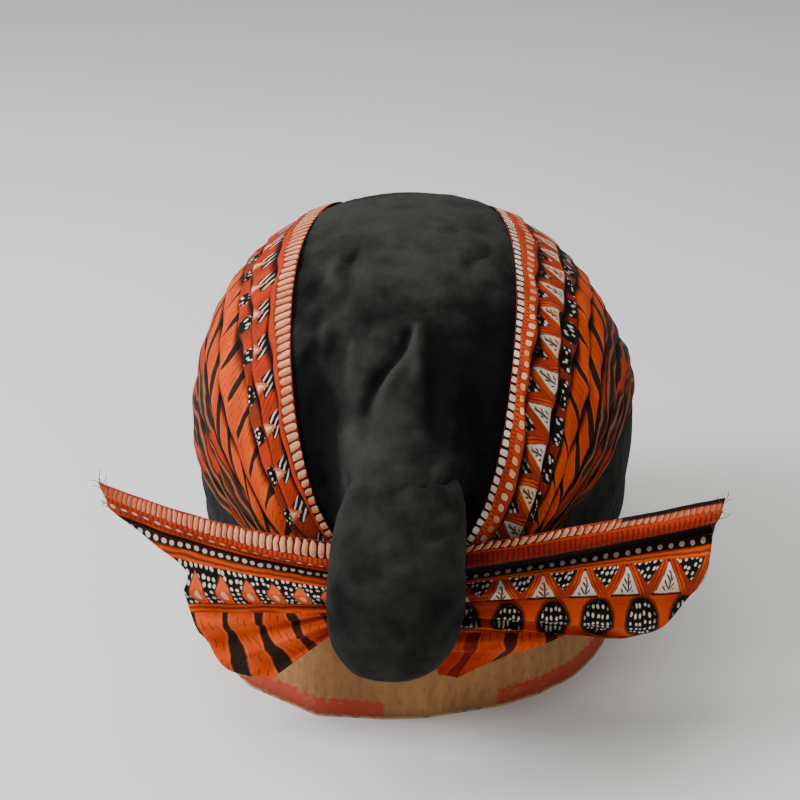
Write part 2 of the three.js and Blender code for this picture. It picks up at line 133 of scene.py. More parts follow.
def dome_half(height, inset=0.0):
    """Half the dome's width and length at a height, with every outside size less by inset."""
    top = TOP_HEIGHT - inset
    low = np.clip((height - RIM_HEIGHT) / (WIDEST_HEIGHT - RIM_HEIGHT), 0, 1)
    high = np.clip((height - WIDEST_HEIGHT) / (top - WIDEST_HEIGHT), 0, 1)
    swell = np.sin(low * math.pi / 2)[..., None]
    close = np.sqrt(1 - high**2)[..., None]
    return (RIM_HALF + (WIDEST_HALF - RIM_HALF) * swell - inset) * close


def lean_at(height):
    return LEAN * np.maximum(height - WIDEST_HEIGHT, 0)


def inside_dome(points):
    height = points[..., 2]
    half = np.maximum(dome_half(height), 1e-6)
    across = (points[..., 0] - lean_at(height)) / half[..., 0]
    along = points[..., 1] / half[..., 1]
    return (height < TOP_HEIGHT) & (across**2 + along**2 < 1)


def bisect(low, high, holds):
    """The largest value between low and high, in each cell, for which holds() is still true."""
    for _ in range(HALVINGS):
        middle = (low + high) / 2
        kept = holds(middle)
        low = np.where(kept, middle, low)
        high = np.where(kept, high, middle)
    return low


def on_dome(way, turn, lift=0.0):
    """Points that lie lift above the dome, at a way round and a turn given in degrees."""
    way, turn = np.broadcast_arrays(np.radians(way), np.radians(turn))
    aside = np.sin(turn)[..., None] * TO_SIDE + np.cos(turn)[..., None] * TO_TOP
    direction = np.cos(way)[..., None] * TO_BACK + np.sin(way)[..., None] * aside
    far = np.full(way.shape, 2 * TOP_HEIGHT)
    reach = bisect(0 * far, far, lambda r: inside_dome(HUB + r[..., None] * direction))
    return HUB + (reach + lift)[..., None] * direction


def smooth(xs, ys, x):
    """Read a smooth curve through the points (xs, ys) at x, and hold its ends."""
    xs, ys = np.asarray(xs, float), np.asarray(ys, float)
    x = np.clip(x, xs[0], xs[-1])
    i = np.clip(np.searchsorted(xs, x, side="right") - 1, 0, len(xs) - 2)
    steps = np.arange(len(xs))
    before, after = np.maximum(steps - 1, 0), np.minimum(steps + 1, len(xs) - 1)
    slope = (ys[after] - ys[before]) / (xs[after] - xs[before])
    span = xs[i + 1] - xs[i]
    t = (x - xs[i]) / span
    ease = t * t * (3 - 2 * t)
    bend = slope[i] * t * (1 - t) ** 2 + slope[i + 1] * t * t * (t - 1)
    return ys[i] + (ys[i + 1] - ys[i]) * ease + bend * span


def ripple(points, size, seed=0):
    """Soft noise from -1 to 1 at each point, with bumps about size mm apart."""
    flat = np.asarray(points, float).reshape(-1, 3) / size + SEED_STEP * (seed + 1)
    values = [noise.noise(Vector(p)) for p in flat]
    return np.array(values).reshape(np.shape(points)[:-1])


print("height of the cap over the hub (mm):", on_dome(90, 0)[2].round(1))

# %% [markdown]
# ## Meshes from grids
# Most cloth here is a slab: a grid of outer points, the same grid of inner points, and a strip of
# faces round the edges. Writing the grid directly gives clean rows that follow the weave, and a
# UV map of each point's place in the print. Faces are turned outwards by the sign of the volume.

# %% Slabs, looped or open
def slab_faces(rows, columns, looped=False):
    """Faces of an outer and an inner grid, joined round their open edges."""
    faces = []
    inner = rows * columns
    turns = columns if looped else columns - 1
    for r in range(rows - 1):
        for c in range(turns):
            n = (c + 1) % columns
            a, b = r * columns, (r + 1) * columns
            faces.append((a + c, a + n, b + n, b + c))
            faces.append((inner + a + c, inner + b + c, inner + b + n, inner + a + n))
    last = (rows - 1) * columns
    for c in range(turns):
        n = (c + 1) % columns
        faces.append((c, inner + c, inner + n, n))
        faces.append((last + c, last + n, inner + last + n, inner + last + c))
    if not looped:
        for r in range(rows - 1):
            a, b = r * columns, (r + 1) * columns
            faces.append((a, b, inner + b, inner + a))
            end = columns - 1
            faces.append((a + end, inner + a + end, inner + b + end, b + end))
    return faces


def volume_of(points, quads):
    a, b, c, d = (points[corner] for corner in np.array(quads).T)
    return np.sum(a * (np.cross(b, c) + np.cross(c, d))) / 6


def build(name, points, faces, finish, printed=None):
    """Make a piece from points in hat millimetres, with one material and its place in the print."""
    points = points.reshape(-1, 3)
    if volume_of(points, faces) < 0:
        faces = [face[::-1] for face in faces]
    mesh = bpy.data.meshes.new(name)
    mesh.from_pydata(((points + AXIS) * MM).tolist(), [], faces)
    if printed is not None:
        corners = np.empty(len(mesh.loops), int)
        mesh.loops.foreach_get("vertex_index", corners)
        layer = mesh.uv_layers.new(name="print")
        layer.data.foreach_set("uv", printed[corners].ravel())
    mesh.shade_smooth()
    mesh.materials.append(finish)
    print(f"{name}: {len(mesh.vertices)} points, {len(mesh.polygons)} faces")
    return new_object(name, mesh)


def slab(name, outer, inner, finish, printed=None, looped=False):
    """A piece from an outer and an inner grid, where both have the same place in the print."""
    points = np.concatenate([outer.reshape(-1, 3), inner.reshape(-1, 3)])
    if printed is not None:
        printed = np.concatenate([printed.reshape(-1, 2)] * 2)
    return build(name, points, slab_faces(*outer.shape[:2], looped), finish, printed)


def close_poles(piece, reach=0.02, turn_out=False):
    """Merge the points that a grid leaves on top of each other at a pole or along a seam."""
    work = bmesh.new()
    work.from_mesh(piece.data)
    bmesh.ops.remove_doubles(work, verts=work.verts, dist=reach * MM)
    if turn_out:
        bmesh.ops.recalc_face_normals(work, faces=work.faces)
    work.to_mesh(piece.data)
    work.free()


def settle(piece, node=None):
    """Let a piece ride on the one body, and stand for a solid."""
    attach(piece, "root")
    if node:
        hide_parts(node)


# %% [markdown]
# ## Shader arithmetic
# A printed pattern is easiest to write as formulas: "a bar where the distance from the middle of
# this repeat is under 1.5 mm". One function adds a node with its settings and links. A Wire holds
# a node's output, and arithmetic on a Wire adds the Math nodes, so a formula reads like a formula.

# %% One function that adds a node, and wires
def linear(code):
    """An sRGB hex colour as the linear colour that a shader needs."""
    parts = [int(code[i:i + 2], 16) / 255 for i in (1, 3, 5)]
    return tuple(c / 12.92 if c <= 0.04045 else ((c + 0.055) / 1.055) ** 2.4 for c in parts) + (1,)


def add(tree, kind, *values, sockets=None, output=0, **settings):
    """Add a node, set it up, fill its sockets in order or by name, and return one output."""
    made = tree.nodes.new(kind)
    for name, value in settings.items():
        setattr(made, name, value)
    filled = [*zip(made.inputs, values), *((made.inputs[n], v) for n, v in (sockets or {}).items())]
    for socket, value in filled:
        if isinstance(value, Wire):
            tree.links.new(value.socket, socket)
        elif value is not None:
            socket.default_value = value
    return Wire(made.outputs[output]) if len(made.outputs) else made


class Wire:
    """A node's output. Arithmetic on it adds the nodes that work the result out."""

    def __init__(self, socket):
        self.socket = socket
        self.tree = socket.id_data

    def math(self, operation, *others):
        return add(self.tree, "ShaderNodeMath", self, *others, operation=operation)

    def __add__(self, other):
        return self.math("ADD", other)

    def __sub__(self, other):
        return self.math("SUBTRACT", other)

    def __rsub__(self, other):
        return self.math("MULTIPLY", -1.0).math("ADD", other)

    def __mul__(self, other):
        return self.math("MULTIPLY", other)

    def __truediv__(self, other):
        return self.math("DIVIDE", other)

    def __pow__(self, other):
        return self.math("POWER", other)

    def __abs__(self):
        return self.math("ABSOLUTE")

    __radd__ = __add__
    __rmul__ = __mul__


# %% [markdown]
# ## Words of the pattern
# Batik is drawn in wax with a small spout, so its shapes are bars, dots, leaves and wavering
# lines with soft edges. Each word below is a mask: 1 inside the shape and 0 outside, with a blur
# of a few tenths of a millimetre where the dye crept under the wax.

# %% Masks for drawn shapes
WAX_BLUR = 0.28


def rise(x, edge, blur=WAX_BLUR):
    """0 below an edge and 1 above it."""
    low, high = edge - blur, edge + blur
    return add(x.tree, "ShaderNodeMapRange", x, low, high, interpolation_type="SMOOTHSTEP")


def between(x, low, high, blur=WAX_BLUR):
    return rise(x, low, blur) * (1 - rise(x, high, blur))


def within(x, half, blur=WAX_BLUR):
    return 1 - rise(abs(x), half, blur)


def repeated(x, pitch):
    """Distance from the middle of the repeat that x lies in."""
    return ((x / pitch).math("FRACT") - 0.5) * pitch


def blob(x, y, half_x, half_y, power=2.0, blur=0.22):
    """A round or, at a higher power, squarish spot."""
    reach = (abs(x) / half_x) ** power + (abs(y) / half_y) ** power
    return 1 - rise(reach, 1.0, blur)


def either(mask, other):
    return mask.math("MAXIMUM", other)


def sine(x):
    return x.math("SINE")


def dye(paint, colour, mask):
    """Lay a colour over the paint where the mask is 1."""
    return add(mask.tree, "ShaderNodeMixRGB", mask, paint, colour)


def dots(u, v, pitch, size=0.3, scatter=0.35):
    """A mask of small round dots, a pitch apart, scattered by hand."""
    place = add(u.tree, "ShaderNodeCombineXYZ", u / pitch, v / pitch)
    reach = add(
        u.tree,
        "ShaderNodeTexVoronoi",
        sockets={"Vector": place, "Scale": 1.0, "Randomness": scatter},
        output="Distance",
        voronoi_dimensions="2D",
    )
    return 1 - rise(reach, size, 0.07)


# %% [markdown]
# ## Colours of the cloth
# Orange is the ground of the print. Dark brown, black and the undyed cream are drawn on it, and
# where orange lies over brown the cloth turns rust.

# %% Dyes
ORANGE = linear("#d04a0c")
DEEP_ORANGE = linear("#a92e0c")
RUST = linear("#6f2b15")
BROWN = linear("#25160b")
BLACK = linear("#110c09")
CREAM = linear("#dca583")
WHITE = linear("#cfc2b3")
PINK_LINE = linear("#b9603b")
STREAK_LINE = linear("#8a4d33")
RED = linear("#86170a")
UMBER = linear("#381c10")

# %% [markdown]
# ## Rows of the print
# The cloth's border is printed in rows that run along the fold: ladders, beads, leaf bands, the
# toothed tumpal row and spotted seeds, and then the orange field. Each row is one short function
# of u, the distance along the row, and y, the distance across it, both in millimetres.

# %% Border rows
LEAF_PITCH = 16.5
TOOTH_PITCH = 14.5


def hand_tint(u, y):
    """Slow change from 0 to 1 between one drawn mark and the next."""
    return sine(u * 0.23 + sine(u * 0.071) * 2.0 + y * 0.2) * 0.5 + 0.5


def ladder_row(u, y, pitch=3.5, width=5.6):
    """Cream rungs that turn pink to one side, on black and rust, with a red-orange margin outside."""
    x = repeated(u, pitch)
    short = sine(u * 1.9) * 0.25
    rungs = blob(x, y - width / 2 + short, pitch * 0.37, width / 2 - 0.2, power=4)
    rung_dye = dye(CREAM, PINK_LINE, (1 - rise(x, 0.1, pitch * 0.35)) * 0.85 + hand_tint(u, y) * 0.3)
    ground = dye(BLACK, RUST, rise(u, 38.0, 22.0) * 0.9)
    paint = dye(ground, rung_dye, rungs)
    return dye(paint, DEEP_ORANGE, rise(y, width + 0.2))


def beaded_row(u, y, tick_pitch=3.4, bead_pitch=4.4, bead_middle=5.8):
    """Small square ticks, an orange band, and a string of soft square beads."""
    ticks = blob(repeated(u, tick_pitch), y - 1.3, 1.2, 1.15, power=4)
    paint = dye(BLACK, dye(WHITE, PINK_LINE, hand_tint(u, y) * 0.45), ticks)
    paint = dye(paint, dye(DEEP_ORANGE, ORANGE, hand_tint(u, y * 3) * 0.6), rise(y, 2.5))
    speckle = within(repeated(u, tick_pitch / 2), 0.4) * between(y, 3.0, 4.2)
    paint = dye(paint, RUST, speckle)
    x = repeated(u, bead_pitch)
    paint = dye(paint, RUST, blob(x, y - bead_middle, 1.9, 1.7, power=3) * 0.6)
    beads = blob(x, y - bead_middle, 1.25, 1.15, power=3)
    return dye(paint, dye(CREAM, PINK_LINE, hand_tint(u * 1.3, y) * 0.8), beads)


def leaf_row(u, y):
    """Black slanted blocks with white veins, and cream leaves between them."""
    x = repeated(u + y * 0.4, LEAF_PITCH)
    mottle = within(repeated(u + y, 3.1), 0.5) * hand_tint(u, y)
    paint = dye(dye(DEEP_ORANGE, RUST, hand_tint(u * 1.4, y) * 0.5), RED, mottle)
    block = between(x, -4.6, 4.2) * between(y, 0.2, 5.6)
    paint = dye(paint, BLACK, block)
    veins = within(repeated(x + y * 0.55, 3.3), 0.5) * between(x, -4.2, 3.9) * between(y, 0.9, 5.1)
    paint = dye(paint, WHITE, veins)
    from_vein = abs(repeated(u + 3.4, LEAF_PITCH) - y * 0.3)
    leaf = (1 - rise(from_vein - (y - 2.4) * 0.5, 0.0)) * between(y, 3.0, 8.6)
    paint = dye(paint, PINK_LINE, leaf)
    core = (1 - rise(from_vein - (y - 4.4) * 0.4, 0.0)) * between(y, 5.0, 7.6)
    return dye(paint, CREAM, core)


def seed_row(u, y):
    """Small black lobes with white seeds, with rust between them."""
    lobe = blob(repeated(u, LEAF_PITCH), y - 2.6, 3.6, 1.9, power=3)
    paint = dye(DEEP_ORANGE, RUST, hand_tint(u, y))
    paint = dye(paint, BLACK, lobe)
    return dye(paint, WHITE, lobe * dots(u, y, 2.0, 0.25, 0.8))


def tumpal_row(u, y, pitch=TOOTH_PITCH, height=9.0, dark_reach=3.6, grain=2.4):
    """White teeth with leaf veins, an orange zigzag round them, and dark seeded teeth between."""
    spread = pitch / 2 / height * 0.7
    x = repeated(u, pitch)
    edge = abs(x) - y * spread
    paint = dye(RUST, DEEP_ORANGE, 0.35 + hand_tint(u, y) * 0.5)
    paint = dye(paint, BROWN, 1 - rise(edge, 2.5))
    zigzag = either(between(edge, 0.25, 1.15, 0.2), between(edge, 1.5, 2.3, 0.2))
    paint = dye(paint, dye(ORANGE, DEEP_ORANGE, hand_tint(u, y * 2)), zigzag)
    tooth = (1 - rise(edge, -0.1)) * between(y, 0.9, height * 0.93)
    paint = dye(paint, dye(WHITE, CREAM, hand_tint(u * 0.6, y)), tooth)
    lean = x + sine(u * 0.43) * 0.6
    veins = within(repeated(y + abs(lean) * 1.5, 2.6), 0.5) * rise(abs(lean), 0.35)
    inner = (1 - rise(abs(x) - y * spread * 0.66, -0.3)) * between(y, 2.8, height * 0.84)
    paint = dye(paint, BROWN, either(veins, within(lean, 0.34)) * inner)
    gap = repeated(u + pitch / 2, pitch)
    dark = (1 - rise(abs(gap) + y * 0.8, dark_reach)) * rise(y, 0.2)
    paint = dye(paint, BLACK, dark)
    return dye(paint, WHITE, dark * dots(u + y * 0.4, y, grain, 0.27, 0.5))


def lobe_row(u, y):
    """Long black lobes with small white seeds."""
    lobe = blob(repeated(u, TOOTH_PITCH), y - 2.7, 5.6, 2.4, power=3)
    paint = dye(RED, RUST, hand_tint(u, y) * 0.8)
    paint = dye(paint, BLACK, lobe)
    return dye(paint, WHITE, lobe * within(y - 2.7, 1.3) * dots(u, y, 2.1, 0.25, 0.9))


# %% [markdown]
# The field is orange, crossed by dark brown stripes that swell and waver, each with a thin pale
# outline where the wax was drawn twice, and with broken hairlines between. On the lowest folds
# only slivers of it show, and they read as brown streaks along the fold.

# %% Field rows
def field_row(u, y, slant=0.5, pitch=16.0, half=1.9, taper=0.0, start=0.0, bow=1.3, reach=99.0):
    """Orange ground with swelling dark stripes, pale outlines and broken hairlines."""
    waver = sine(y * 0.33 + u * 0.07)
    run = u + y * slant + waver * bow + start
    x = repeated(run, pitch)
    body = abs(x) + y * taper - waver * 0.5
    hair = within(repeated(run + waver, 2.7), 0.2, 0.16)
    broken = rise(sine(y * 1.1 + u * 0.37), 0.1, 0.4)
    paint = dye(ORANGE, DEEP_ORANGE, hand_tint(u * 0.7, y * 2) * 0.55)
    paint = dye(paint, RUST, hair * broken * rise(abs(x), pitch * 0.22, 0.6))
    short = 1 - rise(y, reach, 0.6)
    paint = dye(paint, PINK_LINE, between(body, half + 0.4, half + 0.9) * short * 0.8)
    return dye(paint, BROWN, (1 - rise(body, half)) * short)


def wing_field(u, y, slant, redder, **shape):
    """The field on a wing, which painted shade turns red and dark towards the tie; redder adds an even
    red tint.
    """
    near_tie = (1 - rise(u, 18.0, 12.0)) * 0.5 + redder
    return dye(field_row(u, y, slant=slant, **shape), RED, near_tie)


def left_field(u, y):
    """Stripes that turn from one slant to the other towards the tip."""
    slant = 0.75 - u * 0.0105
    return wing_field(u, y, slant, 0.0, pitch=12.3, half=1.4, taper=-0.05, start=3.2, bow=0.7)


def right_field(u, y):
    return wing_field(u, y, 0.38, 0.15, pitch=14.0, half=2.1, start=6.0)


def wedge_row(u, y, slant, start=0.0, half=2.2):
    """The field as the narrow folds show it: short blunt wedges that thin out across the fold."""
    return field_row(u, y, slant, half=half, taper=0.12, start=start, bow=0.6, reach=9.5)


def cell_row(u, y, slant, start=0.0):
    """The field along a fold: orange cells between dark stripes that cross it at a low angle."""
    return field_row(u, y, slant, 19.0, 2.9, start=start, bow=1.8)


def streak_row(u, y, start):
    """Brown cloth with thin wavering lines that run along the fold, and slivers of orange."""
    waver = sine(u * 0.11 + start) * 1.2 + sine(u * 0.043 + start * 2) * 1.6
    run = y + waver
    paint = dye(BROWN, UMBER, hand_tint(u * 0.4, y))
    paint = dye(paint, STREAK_LINE, within(repeated(run, 3.9), 0.6, 0.45))
    sliver = rise(sine(u * 0.1 + start * 3), 0.25, 0.25) * within(repeated(run + 1.2, 7.8), 1.6, 0.4)
    return dye(paint, DEEP_ORANGE, sliver * 0.85)


def spotted_row(u, y, pitch=16.6, radius=5.5, middle=5.8):
    """Black discs full of white seeds, each in a thin rust ring, on orange."""
    x = repeated(u - 1.4, pitch)
    paint = dye(ORANGE, DEEP_ORANGE, hand_tint(u, y) * 0.6)
    paint = dye(paint, RUST, blob(x, y - middle, radius + 1.3, radius + 0.8, blur=0.1))
    paint = dye(paint, BLACK, blob(x, y - middle, radius + 0.6, radius, blur=0.1))
    seeds = dots(u, y, 1.75, 0.26, 0.4)
    return dye(paint, WHITE, blob(x, y - middle, radius - 0.4, radius - 0.9) * seeds)


def block_row(u, y):
    """Black cloth with seeds and leaning orange flames, each with a cream core."""
    x = repeated(u + y * 0.35, 10.0) + sine(y * 0.45) * 0.5
    flame = abs(x) - (y - 3.0) * (14.6 - y) * 0.058
    paint = dye(BLACK, WHITE, dots(u + y * 0.3, y * 0.85, 2.1, 0.28, 0.45))
    paint = dye(paint, RUST, 1 - rise(flame, 1.3))
    paint = dye(paint, PINK_LINE, 1 - rise(flame, 0.7))
    paint = dye(paint, ORANGE, 1 - rise(flame, 0.1))
    return dye(paint, CREAM, blob(x, y - 9.3, 1.1, 2.3))


def line_row(u, y):
    """Thin orange lines on brown."""
    waver = sine(u * 0.21) * 0.12
    return dye(RUST, ORANGE, within(repeated(y + waver, 1.5), 0.42))


def hatched_row(u, y, colour):
    return dye(colour, BROWN, within(repeated(u, 1.9), 0.35) * 0.7)


def reddened_row(u, y):
    """A hatched row that is red near the tie and turns orange towards the tip."""
    return hatched_row(u, y, dye(RED, DEEP_ORANGE, rise(u, 70.0, 30.0)))


def plain_row(u, y):
    return dye(ORANGE, DEEP_ORANGE, hand_tint(u, y))


def wing_ladder(u, y, pitch, width, closer, lean):
    """The ladder on a wing, whose rungs grow closer, slant and grow dull towards the tip, reddened near
    the tie by painted shade.
    """
    run = u * (1 + u * closer) + y * lean
    paint = dye(ladder_row(run, y, pitch, width), RED, (1 - rise(u, 9.0, 8.0)) * 0.4)
    dull = dye(DEEP_ORANGE, RUST, within(repeated(run, pitch), pitch * 0.2))
    return dye(paint, dull, rise(u, 78.0, 30.0) * 0.75)


def bead_row(u, y, pitch=4.2, half=1.1):
    ground = dye(RUST, DEEP_ORANGE, hand_tint(u * 2, y))
    return dye(ground, CREAM, blob(repeated(u, pitch), y - 1.7, half, half))


def pearl_row(u, y, pitch):
    return dye(BROWN, WHITE, blob(repeated(u, pitch), y - 1.3, 0.98, 0.85))


# %% [markdown]
# ## Batik cotton
# The finish is plain-weave cotton, printed through, with no gloss at all and a faint fuzz. What
# the eye sees is the print, small unevenness in the dye, a very fine weave, and painted shade:
# a dark line in each crease and darker cloth near the tie. Threads are about 0.4 mm apart on the
# real cloth. They are drawn at 1.1 mm here, because finer ones would blur away in the picture.

# %% Cloth finish that any paint can have
THREAD = 1.1
DRIFT_ALONG, DRIFT_ACROSS = 1.5, 1.1  # how far drawn lines wander off their places
STRIP_BLUR, ROW_BLUR = 0.012, 0.2


def noise_at(tree, place, size, detail=2.0, output="Fac"):
    """Noise whose bumps are about size mm apart."""
    return add(
        tree,
        "ShaderNodeTexNoise",
        sockets={"Vector": place, "Scale": 1 / (size * MM), "Detail": detail},
        output=output,
    )


def new_material(name):
    """An empty material, its tree, and each point's own place on the object."""
    made = bpy.data.materials.new(name)
    made.use_nodes = True
    tree = made.node_tree
    tree.nodes.clear()
    return made, tree, add(tree, "ShaderNodeTexCoord", output="Object")


def parts_of(vector):
    """The X, Y and Z parts of a vector."""
    first = add(vector.tree, "ShaderNodeSeparateXYZ", vector)
    return [Wire(socket) for socket in first.socket.node.outputs]


def weave_height(place):
    """Crossed threads, as waves along all three axes, so that every side of a piece has them."""
    x, y, z = (sine(part * (2 * math.pi / (THREAD * MM))) for part in parts_of(place))
    return x + y + z


def lead_out(tree, paint, relief, strength, settings):
    """Join paint, a relief in millimetres and the shader's own settings, and end the material."""
    bump = add(tree, "ShaderNodeBump", sockets={"Height": relief, "Strength": strength, "Distance": MM})
    sockets = {"Base Color": paint, "Normal": bump, **settings}
    add(tree, "ShaderNodeOutputMaterial", add(tree, "ShaderNodeBsdfPrincipled", sockets=sockets))


def finish_cloth(tree, paint, place, sheen, roughness, weave=0.02, crumple=0.55, specular=0.12):
    """Lead paint to the surface, with a woven and slightly crumpled relief."""
    relief = weave_height(place) * weave + noise_at(tree, place, 7.0, 3.0) * crumple
    lead_out(tree, paint, relief, 0.9, {
        "Roughness": roughness,
        "Specular IOR Level": specular,
        "Sheen Weight": sheen,
        "Sheen Roughness": 0.5,
    })


def groove_shade(u, v):
    """Painted shade in the groove under each fold's lip, on the lip's own edge and near the tie, where
    v counts folds.
    """
    width = 0.21 + sine(u * 0.13 + v * 2.3) * 0.07
    groove = (1 - rise((v + 0.06).math("FRACT"), width, 0.13)) * rise(v, 0.6, 0.25)
    lip = rise(v.math("FRACT"), 0.9, 0.07) * 0.6
    near_tie = (1 - rise(u, 24.0, 20.0)) * 0.55 * rise(v, 0.7, 0.3)
    return 0.94 * either(either(groove, lip), near_tie)


def crease_shade(u, v):
    """Shade of a thin crease below the border, and where the cloth goes in behind the mondolan."""
    crease = within(v - 13.2, 0.5, 0.6)
    return 0.8 * either(crease, (1 - rise(u, 12.0, 9.0)) * 0.8)


def deep_fold_shade(u, v):
    """Painted shade of a deep fold that closes towards the tip, of the rolled edge at the tip, and near
    the tie.
    """
    fold = within(v - 12.6 - u * 0.012, 2.6, 1.6) * (1 - rise(u, 46.0, 34.0))
    rolled = (1 - rise(v, 1.3, 0.4)) * rise(u, 66.0, 3.0)
    near_tie = (1 - rise(u, 16.0, 14.0)) * (1 - rise(v, 42.0, 4.0)) * 0.8
    return 0.96 * either(either(fold, near_tie), rolled)


def printed_cotton(name, rows, strips, shading):
    """Batik cotton from a table of rows. On folds v counts the strips, and elsewhere it is mm."""
    made, tree, place = new_material(name)
    along, v, _ = parts_of(add(tree, "ShaderNodeUVMap", uv_map="print"))
    drift_along, drift_across, _ = parts_of(noise_at(tree, place, 5.0, 2.0, "Color"))
    u = along + (drift_along - 0.5) * DRIFT_ALONG
    side_drift = (drift_across - 0.5) * DRIFT_ACROSS
    paint = DEEP_ORANGE
    blur = STRIP_BLUR if strips else ROW_BLUR
    start = 0
    for width, motif, *settings in rows:
        step = 1 if strips else width
        y = (v - start) * (width / step) + side_drift
        paint = dye(paint, motif(u, y, *settings), between(v, start, start + step, blur))
        start += step
    uneven = noise_at(tree, place, 16.0, 4.0)
    fine = noise_at(tree, place, 1.6, 2.0)
    # Painted shade from the shading function darkens grooves, creases and the cloth near the tie.
    shade = (0.66 + uneven * 0.45 + fine * 0.26) * (1 - shading(along, v))
    paint = add(tree, "ShaderNodeMixRGB", 1.0, paint, shade, blend_type="MULTIPLY")
    finish_cloth(tree, paint, place, sheen=0.02, roughness=0.85)
    return made


# %% Printed rows of the four batik pieces
# Each row has its width in mm, its motif, and what the motif is told besides u and y.
LEFT_FOLD_ROWS = [
    (8.4, ladder_row),
    (9.0, leaf_row),
    (5.0, seed_row),
    (13.0, wedge_row, 0.4),
    (9.0, cell_row, 1.9, 8.0),
    (9.0, streak_row, 0.0),
    (9.0, streak_row, 1.7),
    (9.0, streak_row, 3.1),
]
RIGHT_FOLD_ROWS = [
    (8.6, beaded_row),
    (9.6, tumpal_row),
    (5.5, lobe_row),
    (9.0, wedge_row, 0.6, 4.0, 1.7),
    (9.0, cell_row, 1.3, 11.0),
    (9.0, streak_row, 0.9),
    (9.0, streak_row, 2.3),
    (9.0, streak_row, 4.0),
]
LEFT_WING_ROWS = [
    (5.4, wing_ladder, 3.6, 5.4, 0.0056, 0.0),
    (1.6, hatched_row, DEEP_ORANGE),
    (3.4, bead_row),
    (1.7, hatched_row, DEEP_ORANGE),
    (0.8, plain_row),
    (1.3, hatched_row, BLACK),
    (2.6, pearl_row, 3.1),
    (2.6, line_row),
    (13.6, block_row),
    (3.0, line_row),
    (54.0, left_field),
]
RIGHT_WING_ROWS = [
    (4.4, wing_ladder, 3.7, 3.5, 0.0029, 0.7),
    (5.2, reddened_row),
    (4.6, hatched_row, BLACK),
    (2.6, pearl_row, 4.0),
    (2.6, line_row),
    (11.1, tumpal_row, 15.5, 11.1, 5.4, 1.9),
    (11.5, spotted_row),
    (2.0, line_row),
    (46.0, right_field),
]
batik_left_folds = printed_cotton("batik cotton, left folds", LEFT_FOLD_ROWS, True, groove_shade)
batik_right_folds = printed_cotton("batik cotton, right folds", RIGHT_FOLD_ROWS, True, groove_shade)
batik_left_wing = printed_cotton("batik cotton, left wing", LEFT_WING_ROWS, False, crease_shade)
batik_right_wing = printed_cotton("batik cotton, right wing", RIGHT_WING_ROWS, False, deep_fold_shade)
print("nodes in the right wing's print:", len(batik_right_wing.node_tree.nodes))


# %% [markdown]
# ## Black cotton
# The crown, the side wraps and the mondolan are plain-weave cotton dyed black, with blotches
# where the dye wore off. It is never fully black. On the crown a point attribute adds wear and
# painted light: crests a little paler from wear, the top painted paler where it faces the light,
# and painted shade, near black, in hollows, low on the right and beside the folds.

# %% Black cotton finish
def faded_cotton_with_painted_light(name):
    made, tree, place = new_material(name)
    blotch = noise_at(tree, place, 32.0, 5.0) * 0.5 + noise_at(tree, place, 9.0, 4.0) * 0.5
    wear_and_painted_light = add(tree, "ShaderNodeAttribute", output="Fac", attribute_name="wear_and_painted_light")
    # The point attribute brings painted light and shade: the top paler, and the hollows, the low right
    # and the sides by the folds darker. Crests are paler from wear.
    paint = dye(linear("#0c0b0b"), linear("#32322f"), rise(blotch + wear_and_painted_light, 0.53, 0.3))
    finish_cloth(
        tree, paint, place, sheen=0.015, roughness=0.95, weave=0.008, crumple=1.1, specular=0.05
    )
    return made


black_cotton = faded_cotton_with_painted_light("black cotton, faded")

# %% [markdown]
# ## Crown
# One stiffened black shell, open below. Seen from behind, only the panel between the folds shows.
# Its cloth is pulled down into the neck of the mondolan, which raises a ridge behind and lets
# creases run up from the neck like the ribs of a fan. The shell could be sculpted by hand, but a
# table of named creases, each a soft ridge or dip along a line, can be read and changed.

# %% Creases of the crown
RIDGE = {  # how far behind the middle the pulled cloth stands, how wide it is, and where its middle is
    "height": [96, 104, 112, 118, 121, 128, 136, 145, 154, 163],
    "depth": [100, 112, 126, 129.5, 127.5, 114, 101.5, 91.5, 80.5, 60],
    "half_width": [17, 19, 20, 20.5, 21, 19, 17, 15, 12, 10],
    "shift": [2.0, 2.2, 2.4, 2.6, 2.6, 2.6, 2.4, 2.0, 1.6, 1.4],
}
CREASES = {  # both ends as side and height, how wide it is, and how far it stands out
    "left hollow": ((-30, 142), (-26, 104), 5.0, -4.6),
    "right hollow": ((26, 138), (25, 100), 5.4, -4.4),
    "left ridge": ((-27, 173), (-33, 152), 3.0, 1.7),
    "left dip": ((-20.5, 177), (-27, 150), 2.8, -2.6),
    "outer left dip": ((-31, 164), (-35, 144), 3.0, -2.2),
    "small left crest": ((-18, 154), (-17, 142), 2.4, 1.5),
    "groove from the peak": ((3, 160), (-8, 146), 3.0, -3.0),
    "groove to the neck": ((-7, 149), (-15, 128), 2.8, -3.4),
    "crest from the peak": ((6, 159), (-4, 145), 2.4, 2.6),
    "crest to the neck": ((-3, 148), (-18, 126), 2.6, 2.6),
    "peak": ((3.5, 161), (6, 146), 2.4, 1.6),
    "right dip": ((11, 160), (12, 132), 3.4, -2.4),
    "right crest": ((20, 150), (19, 124), 2.6, 1.2),
    "top crease": ((-22, 175.4), (15, 175.6), 1.8, -0.8),
    "top spot": ((12, 179), (18, 178.6), 2.2, -1.1),
    "corner crease": ((31, 174), (21, 171.5), 2.4, -1.7),
    "neck fold": ((-2, 119), (15, 118.3), 1.8, -3.4),
    "neck lip": ((12, 124), (24, 122.5), 2.6, 2.0),
}


def columns_at(table, height):
    """The other columns of a table of sections, read smoothly at each height."""
    return [smooth(table["height"], table[key], height) for key in table if key != "height"]


def behind_dome(x, height, lift=0.0):
    """The point that lies lift outside the dome's back at a side distance and a height."""
    half = dome_half(np.asarray(height, float)) + lift
    across = np.clip((x - lean_at(height)) / half[..., 0], -1, 1)
    return np.stack(np.broadcast_arrays(x, -half[..., 1] * np.sqrt(1 - across**2), height), -1)


